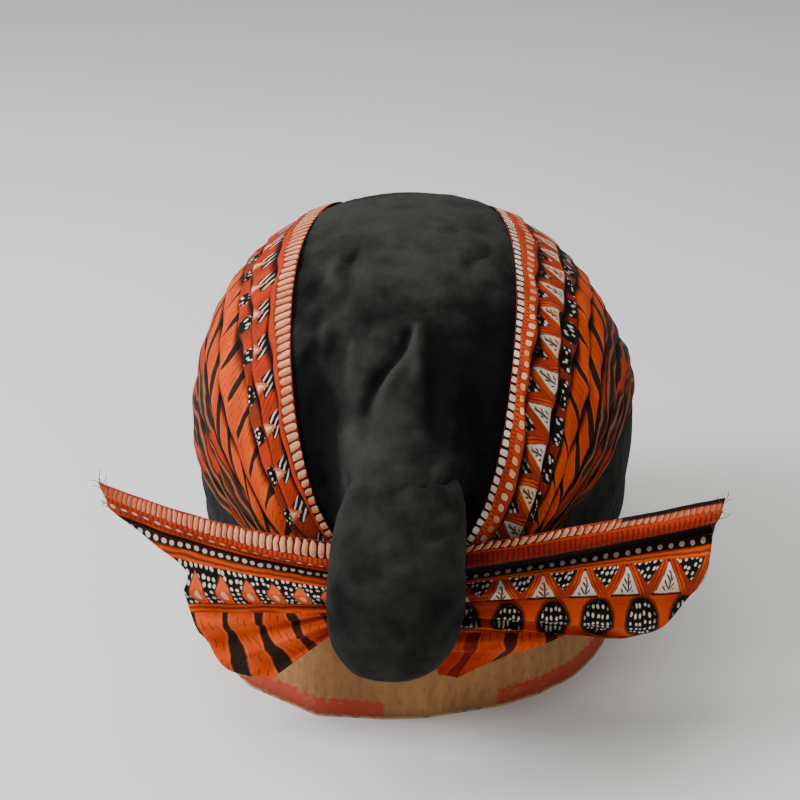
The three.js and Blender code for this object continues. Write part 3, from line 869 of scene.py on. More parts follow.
def along_crease(points, start, end, width):
    """How strongly a crease acts at each point, from 0 to 1, fading out at its ends."""
    start, end = behind_dome(*start), behind_dome(*end)
    line = end - start
    t = np.clip((points - start) @ line / (line @ line), 0, 1)
    gap = np.linalg.norm(points - start - t[..., None] * line, axis=-1)
    return np.exp(-((gap / width) ** 2)) * np.clip(6 * t * (1 - t) + 0.25, 0, 1)


PANEL_TURN, LOW_BACK_SIDE = 27, 30  # degrees and mm at which the folds hide the crown
CREASE_WANDER = 2.2  # mm that a crease strays from its straight line


def crown_relief(points):
    """How far the cloth of the crown stands out from the plain dome."""
    x, y, z = points[..., 0], points[..., 1], points[..., 2]
    wander = np.stack([ripple(points, 13.0, seed) for seed in (40, 41, 42)], -1)
    bent = points + CREASE_WANDER * wander
    relief = sum(height * along_crease(bent, *line) for *line, height in CREASES.values())
    relief = relief + 1.3 * ripple(points, 24.0) + 0.7 * ripple(points, 9.0, 1)
    turn = np.degrees(np.arctan2(np.abs(x - lean_at(z)), np.maximum((points - HUB) @ TO_TOP, 1)))
    panel = np.clip((PANEL_TURN - turn) / 5, 0, 1) * (y < 40)
    low_back = np.clip((LOW_BACK_SIDE - np.abs(x)) / 4, 0, 1) * (y < 0)
    return relief * np.maximum(panel, low_back) - 0.1


def crown_wear_and_painted_light(points, relief):
    """Wear and painted light: crests paler from wear, the top painted paler, and painted shade in
    hollows, low on the right and beside the folds.
    """
    x, z = points[..., 0], points[..., 2]
    on_top = np.clip((z - 166) / 14, 0, 1)
    low_right = np.clip((x - 1) / 18, 0, 1) * np.clip((172 - z) / 26, 0, 1)
    near_folds = np.clip((np.abs(x) - 20) / 10, 0, 1) * np.clip((152 - z) / 24, 0, 1)
    return np.clip(relief * 0.11, -0.4, 0.22) + 0.2 * on_top - 0.26 * low_right - 0.3 * near_folds


# %% Crown as one shell
CROWN_COLUMNS, CROWN_ROWS = 300, 96
ROWS_BELOW = 33  # rows under the widest height
CROWDING = 0.68  # 0 spaces the columns evenly, and 1 draws them all together behind
BACK_ANGLE = -math.pi / 2
RIDGE_SQUARE = 3.4  # 2 is a round hump, and more is flatter with steeper sides


def crown_shell(inset):
    """A grid on the dome, with every outside size less by inset."""
    step = np.linspace(-1, 1, CROWN_COLUMNS, endpoint=False)
    angle = BACK_ANGLE + math.pi * ((1 - CROWDING) * step + CROWDING * step**3)
    climb = np.sin(np.linspace(0, 1, CROWN_ROWS - ROWS_BELOW) * math.pi / 2)
    height = np.concatenate([
        np.linspace(RIM_HEIGHT, WIDEST_HEIGHT, ROWS_BELOW, endpoint=False),
        WIDEST_HEIGHT + (TOP_HEIGHT - WIDEST_HEIGHT) * climb,
    ])
    span = TOP_HEIGHT - RIM_HEIGHT
    height = RIM_HEIGHT + (height - RIM_HEIGHT) * (span - inset) / span
    half = dome_half(height, inset)
    x = half[:, None, 0] * np.cos(angle) + lean_at(height)[:, None]
    y = half[:, None, 1] * np.sin(angle)
    return np.stack([x, y, np.broadcast_to(height[:, None], x.shape)], -1)


def crown_cloth():
    outer, inner = crown_shell(0.0), crown_shell(CROWN_WALL)
    outward = outer - HUB
    outward /= np.linalg.norm(outward, axis=-1, keepdims=True)
    relief = crown_relief(outer)
    outer = outer + outward * relief[..., None]
    inner = inner + outward * np.minimum(relief + 1.0, 0)[..., None]
    x, z = outer[..., 0], outer[..., 2]
    depth, half_width, shift = columns_at(RIDGE, z)
    plain = -behind_dome(x, z)[..., 1]
    reached = (z > RIDGE["height"][0]) & (z < RIDGE["height"][-1]) & (outer[..., 1] < 0)
    spread = np.exp(-np.abs((x - shift) / half_width) ** RIDGE_SQUARE)
    outer[..., 1] -= np.maximum(depth - plain, 0) * spread * reached
    made = slab("crown_cloth", outer, inner, black_cotton, looped=True)
    # This attribute carries wear on crests, and painted light and shade, for the black cotton.
    wear_and_painted_light = made.data.attributes.new("wear_and_painted_light", "FLOAT", "POINT")
    faded_and_painted_light = crown_wear_and_painted_light(outer, relief).ravel()
    wear_and_painted_light.data.foreach_set("value", np.concatenate([faded_and_painted_light, faded_and_painted_light * 0]))
    close_poles(made)
    return made


settle(crown_cloth(), "crown")

# %% [markdown]
# ## Mondolan
# The mondolan is a pouch of the same black cotton stuffed hard, and tied off under the ridge of
# the crown. It starts here as an egg lofted through a few sections, slightly small. A short cloth
# simulation with air pressure then swells it, which rounds its sides as stuffing does. Pressure
# would push small folds out, so the gathers at the neck are pressed in afterwards.

# %% Egg through sections
POUCH = {
    "height": [51, 53.2, 58.5, 65.5, 74, 84, 95, 105, 113, 119, 123.5, 126],
    "outermost": [134, 143, 149.5, 153, 154.5, 153.5, 151, 146.5, 139.5, 132, 123, 112],
    "innermost": [130, 122, 117, 113.4, 111.8, 111.6, 110, 104, 102, 102, 103, 108],
    "half_width": [0.01, 13, 19, 23.4, 25.2, 25.6, 25, 24.2, 22.6, 19.5, 12.5, 0.01],
    "shift": [-1, -1.5, -1, -0.5, 0, 0.3, 0.6, 1.2, 2.2, 2.6, 2.6, 2.6],
}
POUCH_SQUARE = 2.3  # 2 is an ellipse, and more is fuller at the corners
POUCH_START_INSET = 0.8
POUCH_ROWS, POUCH_SIDES = 44, 56
SWELL_CAP = 1.8  # mm that the simulation may move any point


def pouch_rings(inset):
    """Closed rings of the pouch from its lower end to its top."""
    steps = np.sin(np.linspace(-1, 1, POUCH_ROWS) * math.pi / 2) / 2 + 0.5
    low, high = POUCH["height"][0] + inset, POUCH["height"][-1] - inset
    height = low + (high - low) * steps
    outermost, innermost, half_width, shift = columns_at(POUCH, height)
    angle = np.linspace(0, 2 * math.pi, POUCH_SIDES, endpoint=False)
    across, along = (
        np.sign(wave) * np.abs(wave) ** (2 / POUCH_SQUARE) for wave in (np.cos(angle), np.sin(angle))
    )
    half_width = np.maximum(half_width - inset, 0.01)
    half_depth = np.maximum((outermost - innermost) / 2 - inset, 0.01)
    x = shift[:, None] + half_width[:, None] * across
    y = -(outermost + innermost)[:, None] / 2 + half_depth[:, None] * along
    return np.stack([x, y, np.broadcast_to(height[:, None], x.shape)], -1)


def ring_faces(rows, sides):
    faces = []
    for r in range(rows - 1):
        for c in range(sides):
            n = (c + 1) % sides
            faces.append((r * sides + c, r * sides + n, (r + 1) * sides + n, (r + 1) * sides + c))
    return faces


mondolan = build(
    "mondolan_pad", pouch_rings(POUCH_START_INSET), ring_faces(POUCH_ROWS, POUCH_SIDES), black_cotton
)
close_poles(mondolan, 0.06, turn_out=True)


# %% Swell the pouch with a cloth simulation
def points_of(piece):
    found = np.empty(len(piece.data.vertices) * 3)
    piece.data.vertices.foreach_get("co", found)
    return found.reshape(-1, 3)


def set_points(piece, points):
    piece.data.vertices.foreach_set("co", np.asarray(points, float).ravel())
    piece.data.update()


def bake_modifiers(piece):
    """Keep what the piece's modifiers make of it now as a plain mesh, and remove them."""
    graph = bpy.context.evaluated_depsgraph_get()
    made = bpy.data.meshes.new_from_object(piece.evaluated_get(graph), depsgraph=graph)
    piece.modifiers.clear()
    piece.data = made


def swell(piece, frames=20, pressure=4.0):
    start = points_of(piece)
    cloth = piece.modifiers.new("cloth", "CLOTH")
    cloth.settings.use_pressure = True
    cloth.settings.uniform_pressure_force = pressure
    cloth.settings.effector_weights.gravity = 0
    cloth.point_cache.frame_end = frames
    for number in range(1, frames + 1):
        bpy.context.scene.frame_set(number)
    bake_modifiers(piece)
    bpy.context.scene.frame_set(1)
    moved = points_of(piece) - start
    length = np.linalg.norm(moved, axis=1, keepdims=True)
    set_points(piece, start + moved * np.minimum(1, SWELL_CAP * MM / np.maximum(length, 1e-9)))
    print("largest swell (mm):", (length.max() / MM).round(2))


swell(mondolan)
finer = mondolan.modifiers.new("finer", "SUBSURF")
finer.levels = finer.render_levels = 2
bake_modifiers(mondolan)

# %% Press in the gathers and seat the pouch on the crown
GATHERS = 9
GATHER_REACH, GATHER_FADE = 34, 22  # mm from the neck where a gather ends, and over which it fades
GATHER_RELIEF = 0.6
NECK = np.array([2.6, -116.0, 124.0])
POUCH_MIDDLE = np.array([0.5, -131, 86])
SEEN_DEPTH = 120  # what lies further behind than this shows, and may have creases
POUCH_CREASES = {  # side, height, how far it runs to each side, and how far it stands out
    "neck crease": (-4, 119.5, 9, -1.5),
    "right crest": (17, 113, 6, 1.0),
    "right crease": (16, 110, 6, -1.3),
}
CREASE_HALF_HEIGHT = 1.5
SEAT_GAP = 0.5  # mm between the crown and the pouch that rests on it


def dress_pouch(piece):
    points = points_of(piece) / MM - AXIS
    outward = points - POUCH_MIDDLE
    outward /= np.linalg.norm(outward, axis=1, keepdims=True)
    from_neck = points - NECK
    around = np.arctan2(from_neck[:, 0], -from_neck[:, 1])
    reach = np.linalg.norm(from_neck, axis=1)
    near = np.clip((GATHER_REACH - reach) / GATHER_FADE, 0, 1) ** 2
    wander = around * GATHERS + 4.0 * ripple(points, 26.0, 2)
    relief = GATHER_RELIEF * near * np.sin(wander) * (0.6 + ripple(points, 18.0, 6))
    relief += 0.6 * ripple(points, 17.0, 3) + 0.25 * ripple(points, 6.0, 4)
    behind = points[:, 1] < -SEEN_DEPTH
    for x, z, half, height in POUCH_CREASES.values():
        away = ((points[:, 0] - x) / half) ** 2 + ((points[:, 2] - z) / CREASE_HALF_HEIGHT) ** 2
        relief += height * np.exp(-away) * behind
    points += outward * relief[:, None]
    seat = behind_dome(points[:, 0], points[:, 2], SEAT_GAP)
    points[:, 1] = np.minimum(points[:, 1], seat[:, 1])
    set_points(piece, (points + AXIS) * MM)


dress_pouch(mondolan)
mondolan.data.shade_smooth()
settle(mondolan, "mondolan")
print("mondolan points:", len(mondolan.data.vertices))

# %% [markdown]
# ## Folds down each side
# On the real cap a long strip of batik is pleated and stitched down, each pleat half over the
# next. The edges run down the dome at turns given at five stations, and each is named for the
# cloth that ends there. Each fold starts low, comes out from under its neighbour, swells, and
# rolls over in a rounded lip, with a groove below it that painted shade darkens.

# %% Fold edges
STATIONS = [30, 50, 75, 101, 140]  # degrees round from the back pole, from the back to the front
RIGHT_FOLDS = {
    "crown panel": [28, 21, 15.7, 11, 10],
    "beaded border": [37, 25, 20.2, 16.5, 16],
    "tumpal row": [46, 31.8, 25.2, 23.5, 24.5],
    "lobe row": [48.5, 35.5, 28, 28, 30],
    "field 1": [50, 40, 31.5, 32.5, 36],
    "field 2": [51.5, 44.6, 35.5, 37.5, 42],
    "streaks 1": [52.5, 47.5, 40, 42.5, 47],
    "streaks 2": [53.5, 50, 44.5, 47.5, 52],
    "lowest fold": [54.5, 52, 48.5, 52, 57],
}
LEFT_FOLDS = {
    "crown panel": [28.5, 22, 17, 12.8, 11],
    "ladder border": [32.5, 26.2, 21.2, 18, 17],
    "leaf row": [39.5, 30.5, 26, 24.5, 25],
    "seed row": [43, 33.4, 29, 28.8, 30.5],
    "field 1": [50, 41.8, 33.8, 34, 36.5],
    "field 2": [53, 46.5, 39.7, 40, 42],
    "streaks 1": [55.5, 51, 46, 46, 47],
    "streaks 2": [57.5, 55, 52, 51.5, 52],
    "lowest fold": [59, 59, 58, 57, 57],
}
FOLDS_START = 22.0
TOP_WAY, FRONT_WAY = 90.0, 179.0  # ways round at the top and just short of the front pole
LOWEST_TURN = 130.0  # every side of the rim lies above this turn
FOLD_THIN, FOLD_THICK = 0.8, 3.6
LIP_THIN = 0.1  # what is left of the thickness in the groove and where the lip ends
BORDER_FOLDS = 2  # folds that carry the border, which lie flatter than the others
BORDER_ROLL, FIELD_ROLL = 0.78, 0.55  # share of a fold's width at which its lip begins
ENTRY_SHARE = 0.12  # share of a fold's width in which it comes out of the groove
NOISE_APART = 60.0  # mm between the places where two neighbouring folds read their noise
CALM_START, CALM_SPAN = 55, 35  # ways round from which the folds grow even
CLOTH_GAP = 0.6
WRAP_THICK = 1.3
WRAP_LIFT_START, WRAP_LIFT_END = 9.0, 6.0
FOLD_PLACES = [0, 0.04, 0.1, 0.2, 0.32, 0.45, 0.57, 0.68, 0.78, 0.86, 0.92, 0.96, 0.985]
FOLD_STEPS = 170


def turn_at(edge, way):
    return smooth(STATIONS, edge, way)


def under_folds(turn_left):
    """Height of the folds' underside over the dome, which climbs over the wrap near its edge."""
    climb = np.clip((WRAP_LIFT_START - turn_left) / (WRAP_LIFT_START - WRAP_LIFT_END), 0, 1)
    return CLOTH_GAP + climb * (WRAP_THICK + CLOTH_GAP)


def fold_profile(t, entry, roll):
    """Cloth height across one fold: out of the groove, a swell, and a lip that rolls over."""
    body = FOLD_THIN + (FOLD_THICK - FOLD_THIN) * t**1.1
    lip = np.sqrt(1 - np.clip((t - roll) / (1 - roll), 0, 1) ** 2)
    return LIP_THIN + (body - LIP_THIN) * entry * lip


def side_folds(name, folds, side, finish):
    """All folds of one side as one slab, with a groove between each two."""
    edges = list(folds.values())
    last = len(edges) - 2
    fold = np.array([k for k in range(last + 1) for _ in FOLD_PLACES] + [last])
    t = np.array(FOLD_PLACES * (last + 1) + [1.0])[:, None]
    place = fold[:, None] + t

    def turn(way):
        """The turn of every column, each at its own ways round."""
        before = np.stack([turn_at(edges[k], row) for k, row in zip(fold, way)])
        after = np.stack([turn_at(edges[k + 1], row) for k, row in zip(fold, way)])
        sway = 0.4 * np.sin(way * 0.31 + 2.1 * place) + 0.25 * np.sin(way * 0.83 + 4.0 * place)
        return before + (after - before) * t + sway * np.minimum(place, 1)

    def above_rim(way):
        return on_dome(way, side * turn(way))[..., 2] > RIM_HEIGHT

    end = bisect(np.full(t.shape, TOP_WAY), np.full(t.shape, FRONT_WAY), above_rim)
    way = FOLDS_START + (end - FOLDS_START) * np.linspace(0, 1, FOLD_STEPS)
    turned = turn(way)
    lowest = np.stack([turn_at(edges[-1], row) for row in way])
    under = under_folds(lowest - turned)
    ground = on_dome(way, side * turned)
    own_place = ground + NOISE_APART * fold[:, None, None]
    swell_here = 1 + 0.4 * ripple(own_place, 19.0, 5) + 0.2 * ripple(own_place, 7.0, 9)
    swell_here *= 1 - 0.5 * np.clip((way - CALM_START) / CALM_SPAN, 0, 1)
    roll = np.where(fold < BORDER_FOLDS, BORDER_ROLL, FIELD_ROLL)[:, None]
    entry = np.where(fold[:, None] == 0, 1.0, np.clip(t / ENTRY_SHARE, 0, 1) ** 0.6)
    outer = on_dome(way, side * turned, under + fold_profile(t, entry, roll) * swell_here)
    inner = on_dome(way, side * turned, under)
    run = np.linalg.norm(np.diff(ground[0], axis=0), axis=1)
    along = np.concatenate([[0], np.cumsum(run)])
    return slab(name, outer, inner, finish, np.stack(np.broadcast_arrays(along, place), -1))


for node, folds, side, finish in (
    ("left_folds", LEFT_FOLDS, -1, batik_left_folds),
    ("right_folds", RIGHT_FOLDS, 1, batik_right_folds),
):
    settle(side_folds(f"{node}_cloth", folds, side, finish), node)

# %% [markdown]
# ## Wraps
# Below the folds, black cloth is wound round each side down to the rim. It is nearly smooth, with
# a few long shallow folds that run the way it was pulled.

# %% Wraps
WRAP_TUCK = 5.0
WRAP_START = 20.0
WRAP_END_MARGIN = 2.0
WRAP_STEPS, WRAP_ROWS = 150, 40
WRAP_RIBS = 2.6
WRAP_HIDDEN, WRAP_FADE = 0.25, 0.2  # share of the wrap under the folds, and over which its ribs rise
HEM_SHARE = 0.03


def side_wrap(name, folds, side):
    """The black cloth of one side, from under the lowest fold down to the rim."""
    lowest = list(folds.values())[-1]

    def top(way):
        return turn_at(lowest, way) - WRAP_TUCK

    def top_above_rim(way):
        return on_dome(way, side * top(way))[..., 2] > RIM_HEIGHT

    end = bisect(np.array(TOP_WAY), np.array(FRONT_WAY), top_above_rim) - WRAP_END_MARGIN
    way = np.linspace(WRAP_START, end, WRAP_STEPS)

    def above_rim(turn):
        return on_dome(way, side * turn)[..., 2] > RIM_HEIGHT

    rim = bisect(top(way), np.full(WRAP_STEPS, LOWEST_TURN), above_rim)
    down = np.linspace(0, 1, WRAP_ROWS)[:, None]
    turn = top(way) + (rim - top(way)) * down
    ways = np.broadcast_to(way, turn.shape)
    ground = on_dome(ways, side * turn)
    ribs = np.sin(2 * math.pi * WRAP_RIBS * down + way * 0.03 + 1.5 * ripple(ground, 45.0, 12))
    open_part = np.clip((down - WRAP_HIDDEN) / WRAP_FADE, 0, 1)
    relief = open_part * (0.5 * ribs + 0.5 + 0.4 * ripple(ground, 14.0, 13))
    hem = np.clip((1 - down) / HEM_SHARE, 0, 1) ** 0.5
    outer = on_dome(ways, side * turn, CLOTH_GAP + WRAP_THICK * (0.4 + 0.6 * hem) + relief)
    inner = on_dome(ways, side * turn, CLOTH_GAP)
    return slab(name, outer, inner, black_cotton)


for node, folds, side in (("left_wrap", LEFT_FOLDS, -1), ("right_wrap", RIGHT_FOLDS, 1)):
    settle(side_wrap(f"{node}_cloth", folds, side), node)

# %% [markdown]
# ## Wings
# The two free ends of the batik cloth come out of the tie gathered small and open like a fan.
# Rays run from the root to the edge of the cloth. The table gives each ray's height at the root,
# where its tip lies, how far it droops, and which millimetre of the printed cloth lies on it at
# both ends, because the cloth is gathered at the root and nearly flat at the edge.

# %% Rays of the wings
RAY = ("root_height", "tip_side", "tip_depth", "tip_height", "droop", "cloth_root", "cloth_tip", "push")
LEFT_WING = {  # the columns are named in RAY, and push is how far the ray stands out near the root
    "top edge": (88, 114.6, 88, 101.3, 5, 0, 0, 0),
    "ladder end": (81.5, 110.6, 93, 97, 5, 6.5, 6.5, 2.5),
    "crease": (73.5, 108.5, 90, 89.2, 4, 12.8, 12.8, -3.5),
    "notch": (70, 82.9, 97, 70.7, 1, 20, 21, 1),
    "seed middle": (66, 81.3, 104, 64.7, 0, 27, 27, 2.5),
    "seed end": (62, 81.3, 99, 56, 0, 34, 33, -1.5),
    "field 1": (61.6, 77.4, 105, 49, 0, 35.5, 41, 2),
    "field 2": (61.2, 74.4, 101, 40.8, 0, 36.5, 46, -1.5),
    "field 3": (60.8, 68, 106, 33.4, 0, 38, 54, 2),
    "field 4": (60.5, 60, 102, 25.9, 0, 39.5, 59, -1),
    "lower edge": (60.2, 49, 106, 28, 0, 41, 62, 1),
}
RIGHT_WING = {
    "top edge": (88.4, 119.2, 88, 101, 1, 0, 0, 0),
    "ladder end": (80, 117.2, 94, 96.4, 1, 9, 6, 3),
    "crease": (73, 116.4, 88, 88.2, 1, 13, 12.5, -5),
    "line end": (70, 114.2, 97, 83, 0, 20, 19, -1),
    "tumpal middle": (67, 112.7, 100, 73, 0, 27, 26, 2),
    "tumpal end": (64.5, 107.9, 97, 64, 0, 30, 31, -1),
    "seed row": (62, 98.4, 103, 54.5, 0, 33, 37, 2),
    "seed lobe": (60, 89, 98, 46.8, 0, 35, 42, -1.5),
    "hollow": (57.5, 77, 103, 48.2, 0, 37, 42.5, 1.5),
    "seed end": (52, 66, 101, 49.4, 0, 43, 43, -1.5),
    "field 1": (47, 53, 106, 46.5, 0, 47, 50, 2),
    "field 2": (41, 38, 104, 38.8, 0, 56, 58, -1),
    "lower edge": (34, 22, 109, 33, 0, 64, 66, 0),
}
WING_ROOT_SIDE, WING_ROOT_DEPTH = 14.0, 108.2
WING_THICK = 0.8
WING_ACROSS, WING_ALONG = 150, 90
PUSH_START, GATHER_START = 0.1, 0.08  # share of a ray's length in which each rises to its full size


def wing_surface(rays, side, across, along):
    """Points of a wing and their printed place, at rays counted by across and along from 0 to 1."""
    number = np.arange(len(rays))
    column = {key: smooth(number, values, across) for key, values in zip(RAY, zip(*rays.values()))}
    root = np.stack(
        np.broadcast_arrays(side * WING_ROOT_SIDE, -WING_ROOT_DEPTH, column["root_height"]), -1
    )
    tip = np.stack([side * column["tip_side"], -column["tip_depth"], column["tip_height"]], -1)
    points = root + (tip - root) * along[..., None]
    points[..., 2] -= 4 * column["droop"] * along * (1 - along)
    points[..., 1] -= column["push"] * np.clip(along / PUSH_START, 0, 1) * (1 - along)
    cloth = column["cloth_root"] + (column["cloth_tip"] - column["cloth_root"]) * along
    run = np.abs(points[..., 0]) - WING_ROOT_SIDE
    return points, np.stack([run, cloth], -1)


def gathers(points, rays_in, along, side):
    """Small folds that start at the tie and flatten out towards the edge of the cloth."""
    fade = np.clip(along / GATHER_START, 0, 1) * (1 - along) ** 1.3
    fine = np.sin(rays_in * 7.3 + side) * 0.9 + np.sin(rays_in * 3.1 + 2 * side) * 1.1
    edge_wave = along**3 * (0.9 * ripple(points, 15.0, 20) + 0.5 * ripple(points, 6.0, 21))
    return fine * fade + edge_wave + 0.5 * ripple(points, 11.0, 22)


def wing(name, rays, side, finish):
    across, along = np.meshgrid(
        np.linspace(0, len(rays) - 1, WING_ACROSS), np.linspace(0, 1, WING_ALONG), indexing="ij"
    )
    points, printed = wing_surface(rays, side, across, along)
    points[..., 1] -= gathers(points, across, along, side)
    half = np.array([0, WING_THICK / 2, 0])
    return slab(name, points - half, points + half, finish, printed)


def half_area(piece):
    """Area of one face of a thin sheet, in square metres."""
    return sum(face.area for face in piece.data.polygons) / 2


# %% Both wings as sheets
LEFT_CUT = (0.062, 0.110)
RIGHT_CUT = (0.066, 0.108)
for node, rays, side, finish, cut in (
    ("left_wing", LEFT_WING, -1, batik_left_wing, LEFT_CUT),
    ("right_wing", RIGHT_WING, 1, batik_right_wing, RIGHT_CUT),
):
    sheet = wing(f"{node}_cloth", rays, side, finish)
    settle(sheet, node)
    area = min(half_area(sheet), cut[0] * cut[1])
    print(node, "area (cm2):", round(area * 1e4, 1))

# %% [markdown]
# ## Tie
# Behind the mondolan the two ends are knotted together. Little of the knot can be seen: the cloth
# is crushed into upright flutes.

# %% Tie
TIE = {"half_width": 13.4, "bottom": 47.0, "top": 87.0, "inner": 105.4, "outer": 110.9}
TIE_FLUTES, FLUTE_DEPTH = 4, 0.9
TIE_COLUMNS, TIE_ROWS = 70, 40


def tie_cloth():
    across, up = np.meshgrid(np.linspace(0, 1, TIE_COLUMNS), np.linspace(0, 1, TIE_ROWS), indexing="ij")
    x = TIE["half_width"] * (2 * across - 1)
    z = TIE["bottom"] + (TIE["top"] - TIE["bottom"]) * up
    wave = np.cos(2 * math.pi * TIE_FLUTES * across + np.sin(up * 5))
    flute = FLUTE_DEPTH * (1 - wave) / 2
    back = np.stack([x, np.full_like(x, -TIE["outer"]) + flute, z], -1)
    back[..., 1] += 0.3 * ripple(back, 6.0, 30)
    front = np.stack([x, np.full_like(x, -TIE["inner"]), z], -1)
    return slab("tie_cloth", back, front, batik_left_wing, np.stack([x + 20, 46 + z * 0.5], -1))


settle(tie_cloth(), "tie")

# %% [markdown]
# ## Frayed ends
# The cut ends of the wings aren't hemmed, so threads stick out of their tips. Each thread is a
# short bent tube, a quarter of a millimetre thick. Threads repeat along a path, which is what
# Geometry Nodes do well: the path is resampled, a thread is set on each point, and each is turned
# and sized at random from a fixed seed.

# %% How a tree begins and ends
def new_tree(name, **inputs):
    """A Geometry Nodes tree with named inputs, and the wires that bring them in."""
    tree = bpy.data.node_groups.new(name, "GeometryNodeTree")
    for title, kind in {"Geometry": "Geometry", **inputs}.items():
        tree.interface.new_socket(title, in_out="INPUT", socket_type=f"NodeSocket{kind}")
    tree.interface.new_socket("Geometry", in_out="OUTPUT", socket_type="NodeSocketGeometry")
    group = tree.nodes.new("NodeGroupInput")
    return tree, {socket.name: Wire(socket) for socket in group.outputs if socket.name}


def close_tree(tree, shape, material):
    """Make instances real, set the material, and lead the shape out."""
    real = add(tree, "GeometryNodeRealizeInstances", shape)
    dressed = add(tree, "GeometryNodeSetMaterial", sockets={"Geometry": real, "Material": material})
    add(tree, "NodeGroupOutput", dressed)


def run_tree(piece, tree, values):
    """Give a piece a Geometry Nodes tree with named inputs, and keep only the mesh it makes."""
    modifier = piece.modifiers.new("tree", "NODES")
    modifier.node_group = tree
    for socket in tree.interface.items_tree:
        if socket.in_out == "INPUT" and socket.name in values:
            modifier[socket.identifier] = values[socket.name]
    bake_modifiers(piece)


# %% Tree that sets threads along a path
THREAD_STEPS, THREAD_SIDES = 5, 5
MOST_TURNED = (1.2, 1.2, 3.1)  # radians round X, Y and Z
SHORTEST_SHARE = 0.35


def threads_tree():
    tree, given = new_tree(
        "frayed threads", Count="Int", Length="Float", Thickness="Float", Seed="Int", Cloth="Material"
    )
    length, seed = given["Length"], given["Seed"]
    path = add(tree, "GeometryNodeMeshToCurve", given["Geometry"])
    points = add(tree, "GeometryNodeResampleCurve", sockets={"Curve": path, "Count": given["Count"]})
    bend = add(tree, "ShaderNodeCombineXYZ", length * 0.35, length * 0.12, length * 0.6)
    end = add(tree, "ShaderNodeCombineXYZ", length * 0.1, length * 0.3, length)
    line = add(tree, "GeometryNodeCurveQuadraticBezier", THREAD_STEPS, (0, 0, 0), bend, end)
    radius = given["Thickness"] / 2
    section = add(tree, "GeometryNodeCurvePrimitiveCircle", THREAD_SIDES, sockets={"Radius": radius})
    thread = add(tree, "GeometryNodeCurveToMesh", line, section, sockets={"Fill Caps": True})
    spin = add(
        tree,
        "FunctionNodeRandomValue",
        [-angle for angle in MOST_TURNED],
        MOST_TURNED,
        sockets={"Seed": seed},
        data_type="FLOAT_VECTOR",
    )
    size = add(
        tree,
        "FunctionNodeRandomValue",
        sockets={2: SHORTEST_SHARE, 3: 1.0, "Seed": seed},
        output=1,
        data_type="FLOAT",
    )
    placed = add(
        tree,
        "GeometryNodeInstanceOnPoints",
        sockets={"Points": points, "Instance": thread, "Rotation": spin, "Scale": size},
    )
    close_tree(tree, placed, given["Cloth"])
    return tree


# %% Threads at both tips
TIP_STEPS = 30
TIP_PLACE = 0.995  # how far along the rays the threads are set
THREAD_LENGTH, THREAD_THICK = 5.0, 0.26


def thread_cotton():
    made, tree, place = new_material("cotton thread, frayed")
    paint = dye(linear("#3c3a26"), linear("#9a5a34"), rise(noise_at(tree, place, 3.0), 0.55, 0.1))
    finish_cloth(tree, paint, place, sheen=0.2, roughness=0.9)
    return made


def frayed_end(name, rays, side, last, count, seed):
    """Threads along a wing's tip, from its top edge to the ray counted by last."""
    points, _ = wing_surface(rays, side, np.linspace(0, last, TIP_STEPS), np.full(TIP_STEPS, TIP_PLACE))
    mesh = bpy.data.meshes.new(name)
    steps = [(i, i + 1) for i in range(TIP_STEPS - 1)]
    mesh.from_pydata(((points + AXIS) * MM).tolist(), steps, [])
    made = new_object(name, mesh)
    run_tree(made, fraying, {
        "Count": count,
        "Length": THREAD_LENGTH * MM,
        "Thickness": THREAD_THICK * MM,
        "Seed": seed,
        "Cloth": frayed_cotton,
    })
    settle(made)
    print(name, "faces:", len(made.data.polygons))


frayed_cotton = thread_cotton()
fraying = threads_tree()
frayed_end("left_wing_threads", LEFT_WING, -1, last=2.0, count=26, seed=3)
frayed_end("right_wing_threads", RIGHT_WING, 1, last=2.4, count=30, seed=8)

# %% [markdown]
# ## Cardboard ring
# The cap is kept on a strip of single-wall corrugated board, bent to a ring. It creased sharply
# where the bend was too tight, and it is squeezed inside the cap's rim. Real board is two paper
# liners with a fluted sheet between them, so it is made that way: two thin looped slabs, and a
# middle sheet that Geometry Nodes fold into flutes along the ring.

# %% Outline of the ring
RING_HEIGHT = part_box("cardboard_ring")[1][2] / MM
RING_FOOT_HALF = np.array([87.5, 93.5])
RING_WALL = 3.0
RING_CORNERS = [  # name, angle, reach, and straight sides up to the next corner
    ("left crease", -150, 1.07, 1),
    ("soft crease", -133, 1.065, 1),
    ("back crease", -112, 1.05, 1),
    ("seam", -95, 0.99, 2),
    ("flattened", -74, 0.955, 3),
    ("right", -40, 1.0, 60),
    ("left", 185, 1.0, 2),
]
LINER = 0.45
SIDE_STEPS = 6
ROWS_INSIDE_RIM = 3


def ring_outline(half, inset, clamp_reach=False):
    """Points round the ring, with straight stretches between its creases."""
    corners = []
    for i, (_, angle, reach, sides) in enumerate(RING_CORNERS):
        _, next_angle, next_reach, _ = RING_CORNERS[(i + 1) % len(RING_CORNERS)]
        if next_angle < angle:
            next_angle += 360
        for j in range(sides):
            t = j / sides
            corners.append((angle + (next_angle - angle) * t, reach + (next_reach - reach) * t))
    angle, reach = np.array(corners).T
    reach = np.minimum(reach, 1) if clamp_reach else reach
    size = half * reach[:, None] - inset
    corner = size * np.stack([np.cos(np.radians(angle)), np.sin(np.radians(angle))], -1)
    following = np.roll(corner, -1, axis=0)
    share = np.arange(SIDE_STEPS)[:, None] / SIDE_STEPS
    return (corner[:, None] + (following - corner)[:, None] * share).reshape(-1, 2)


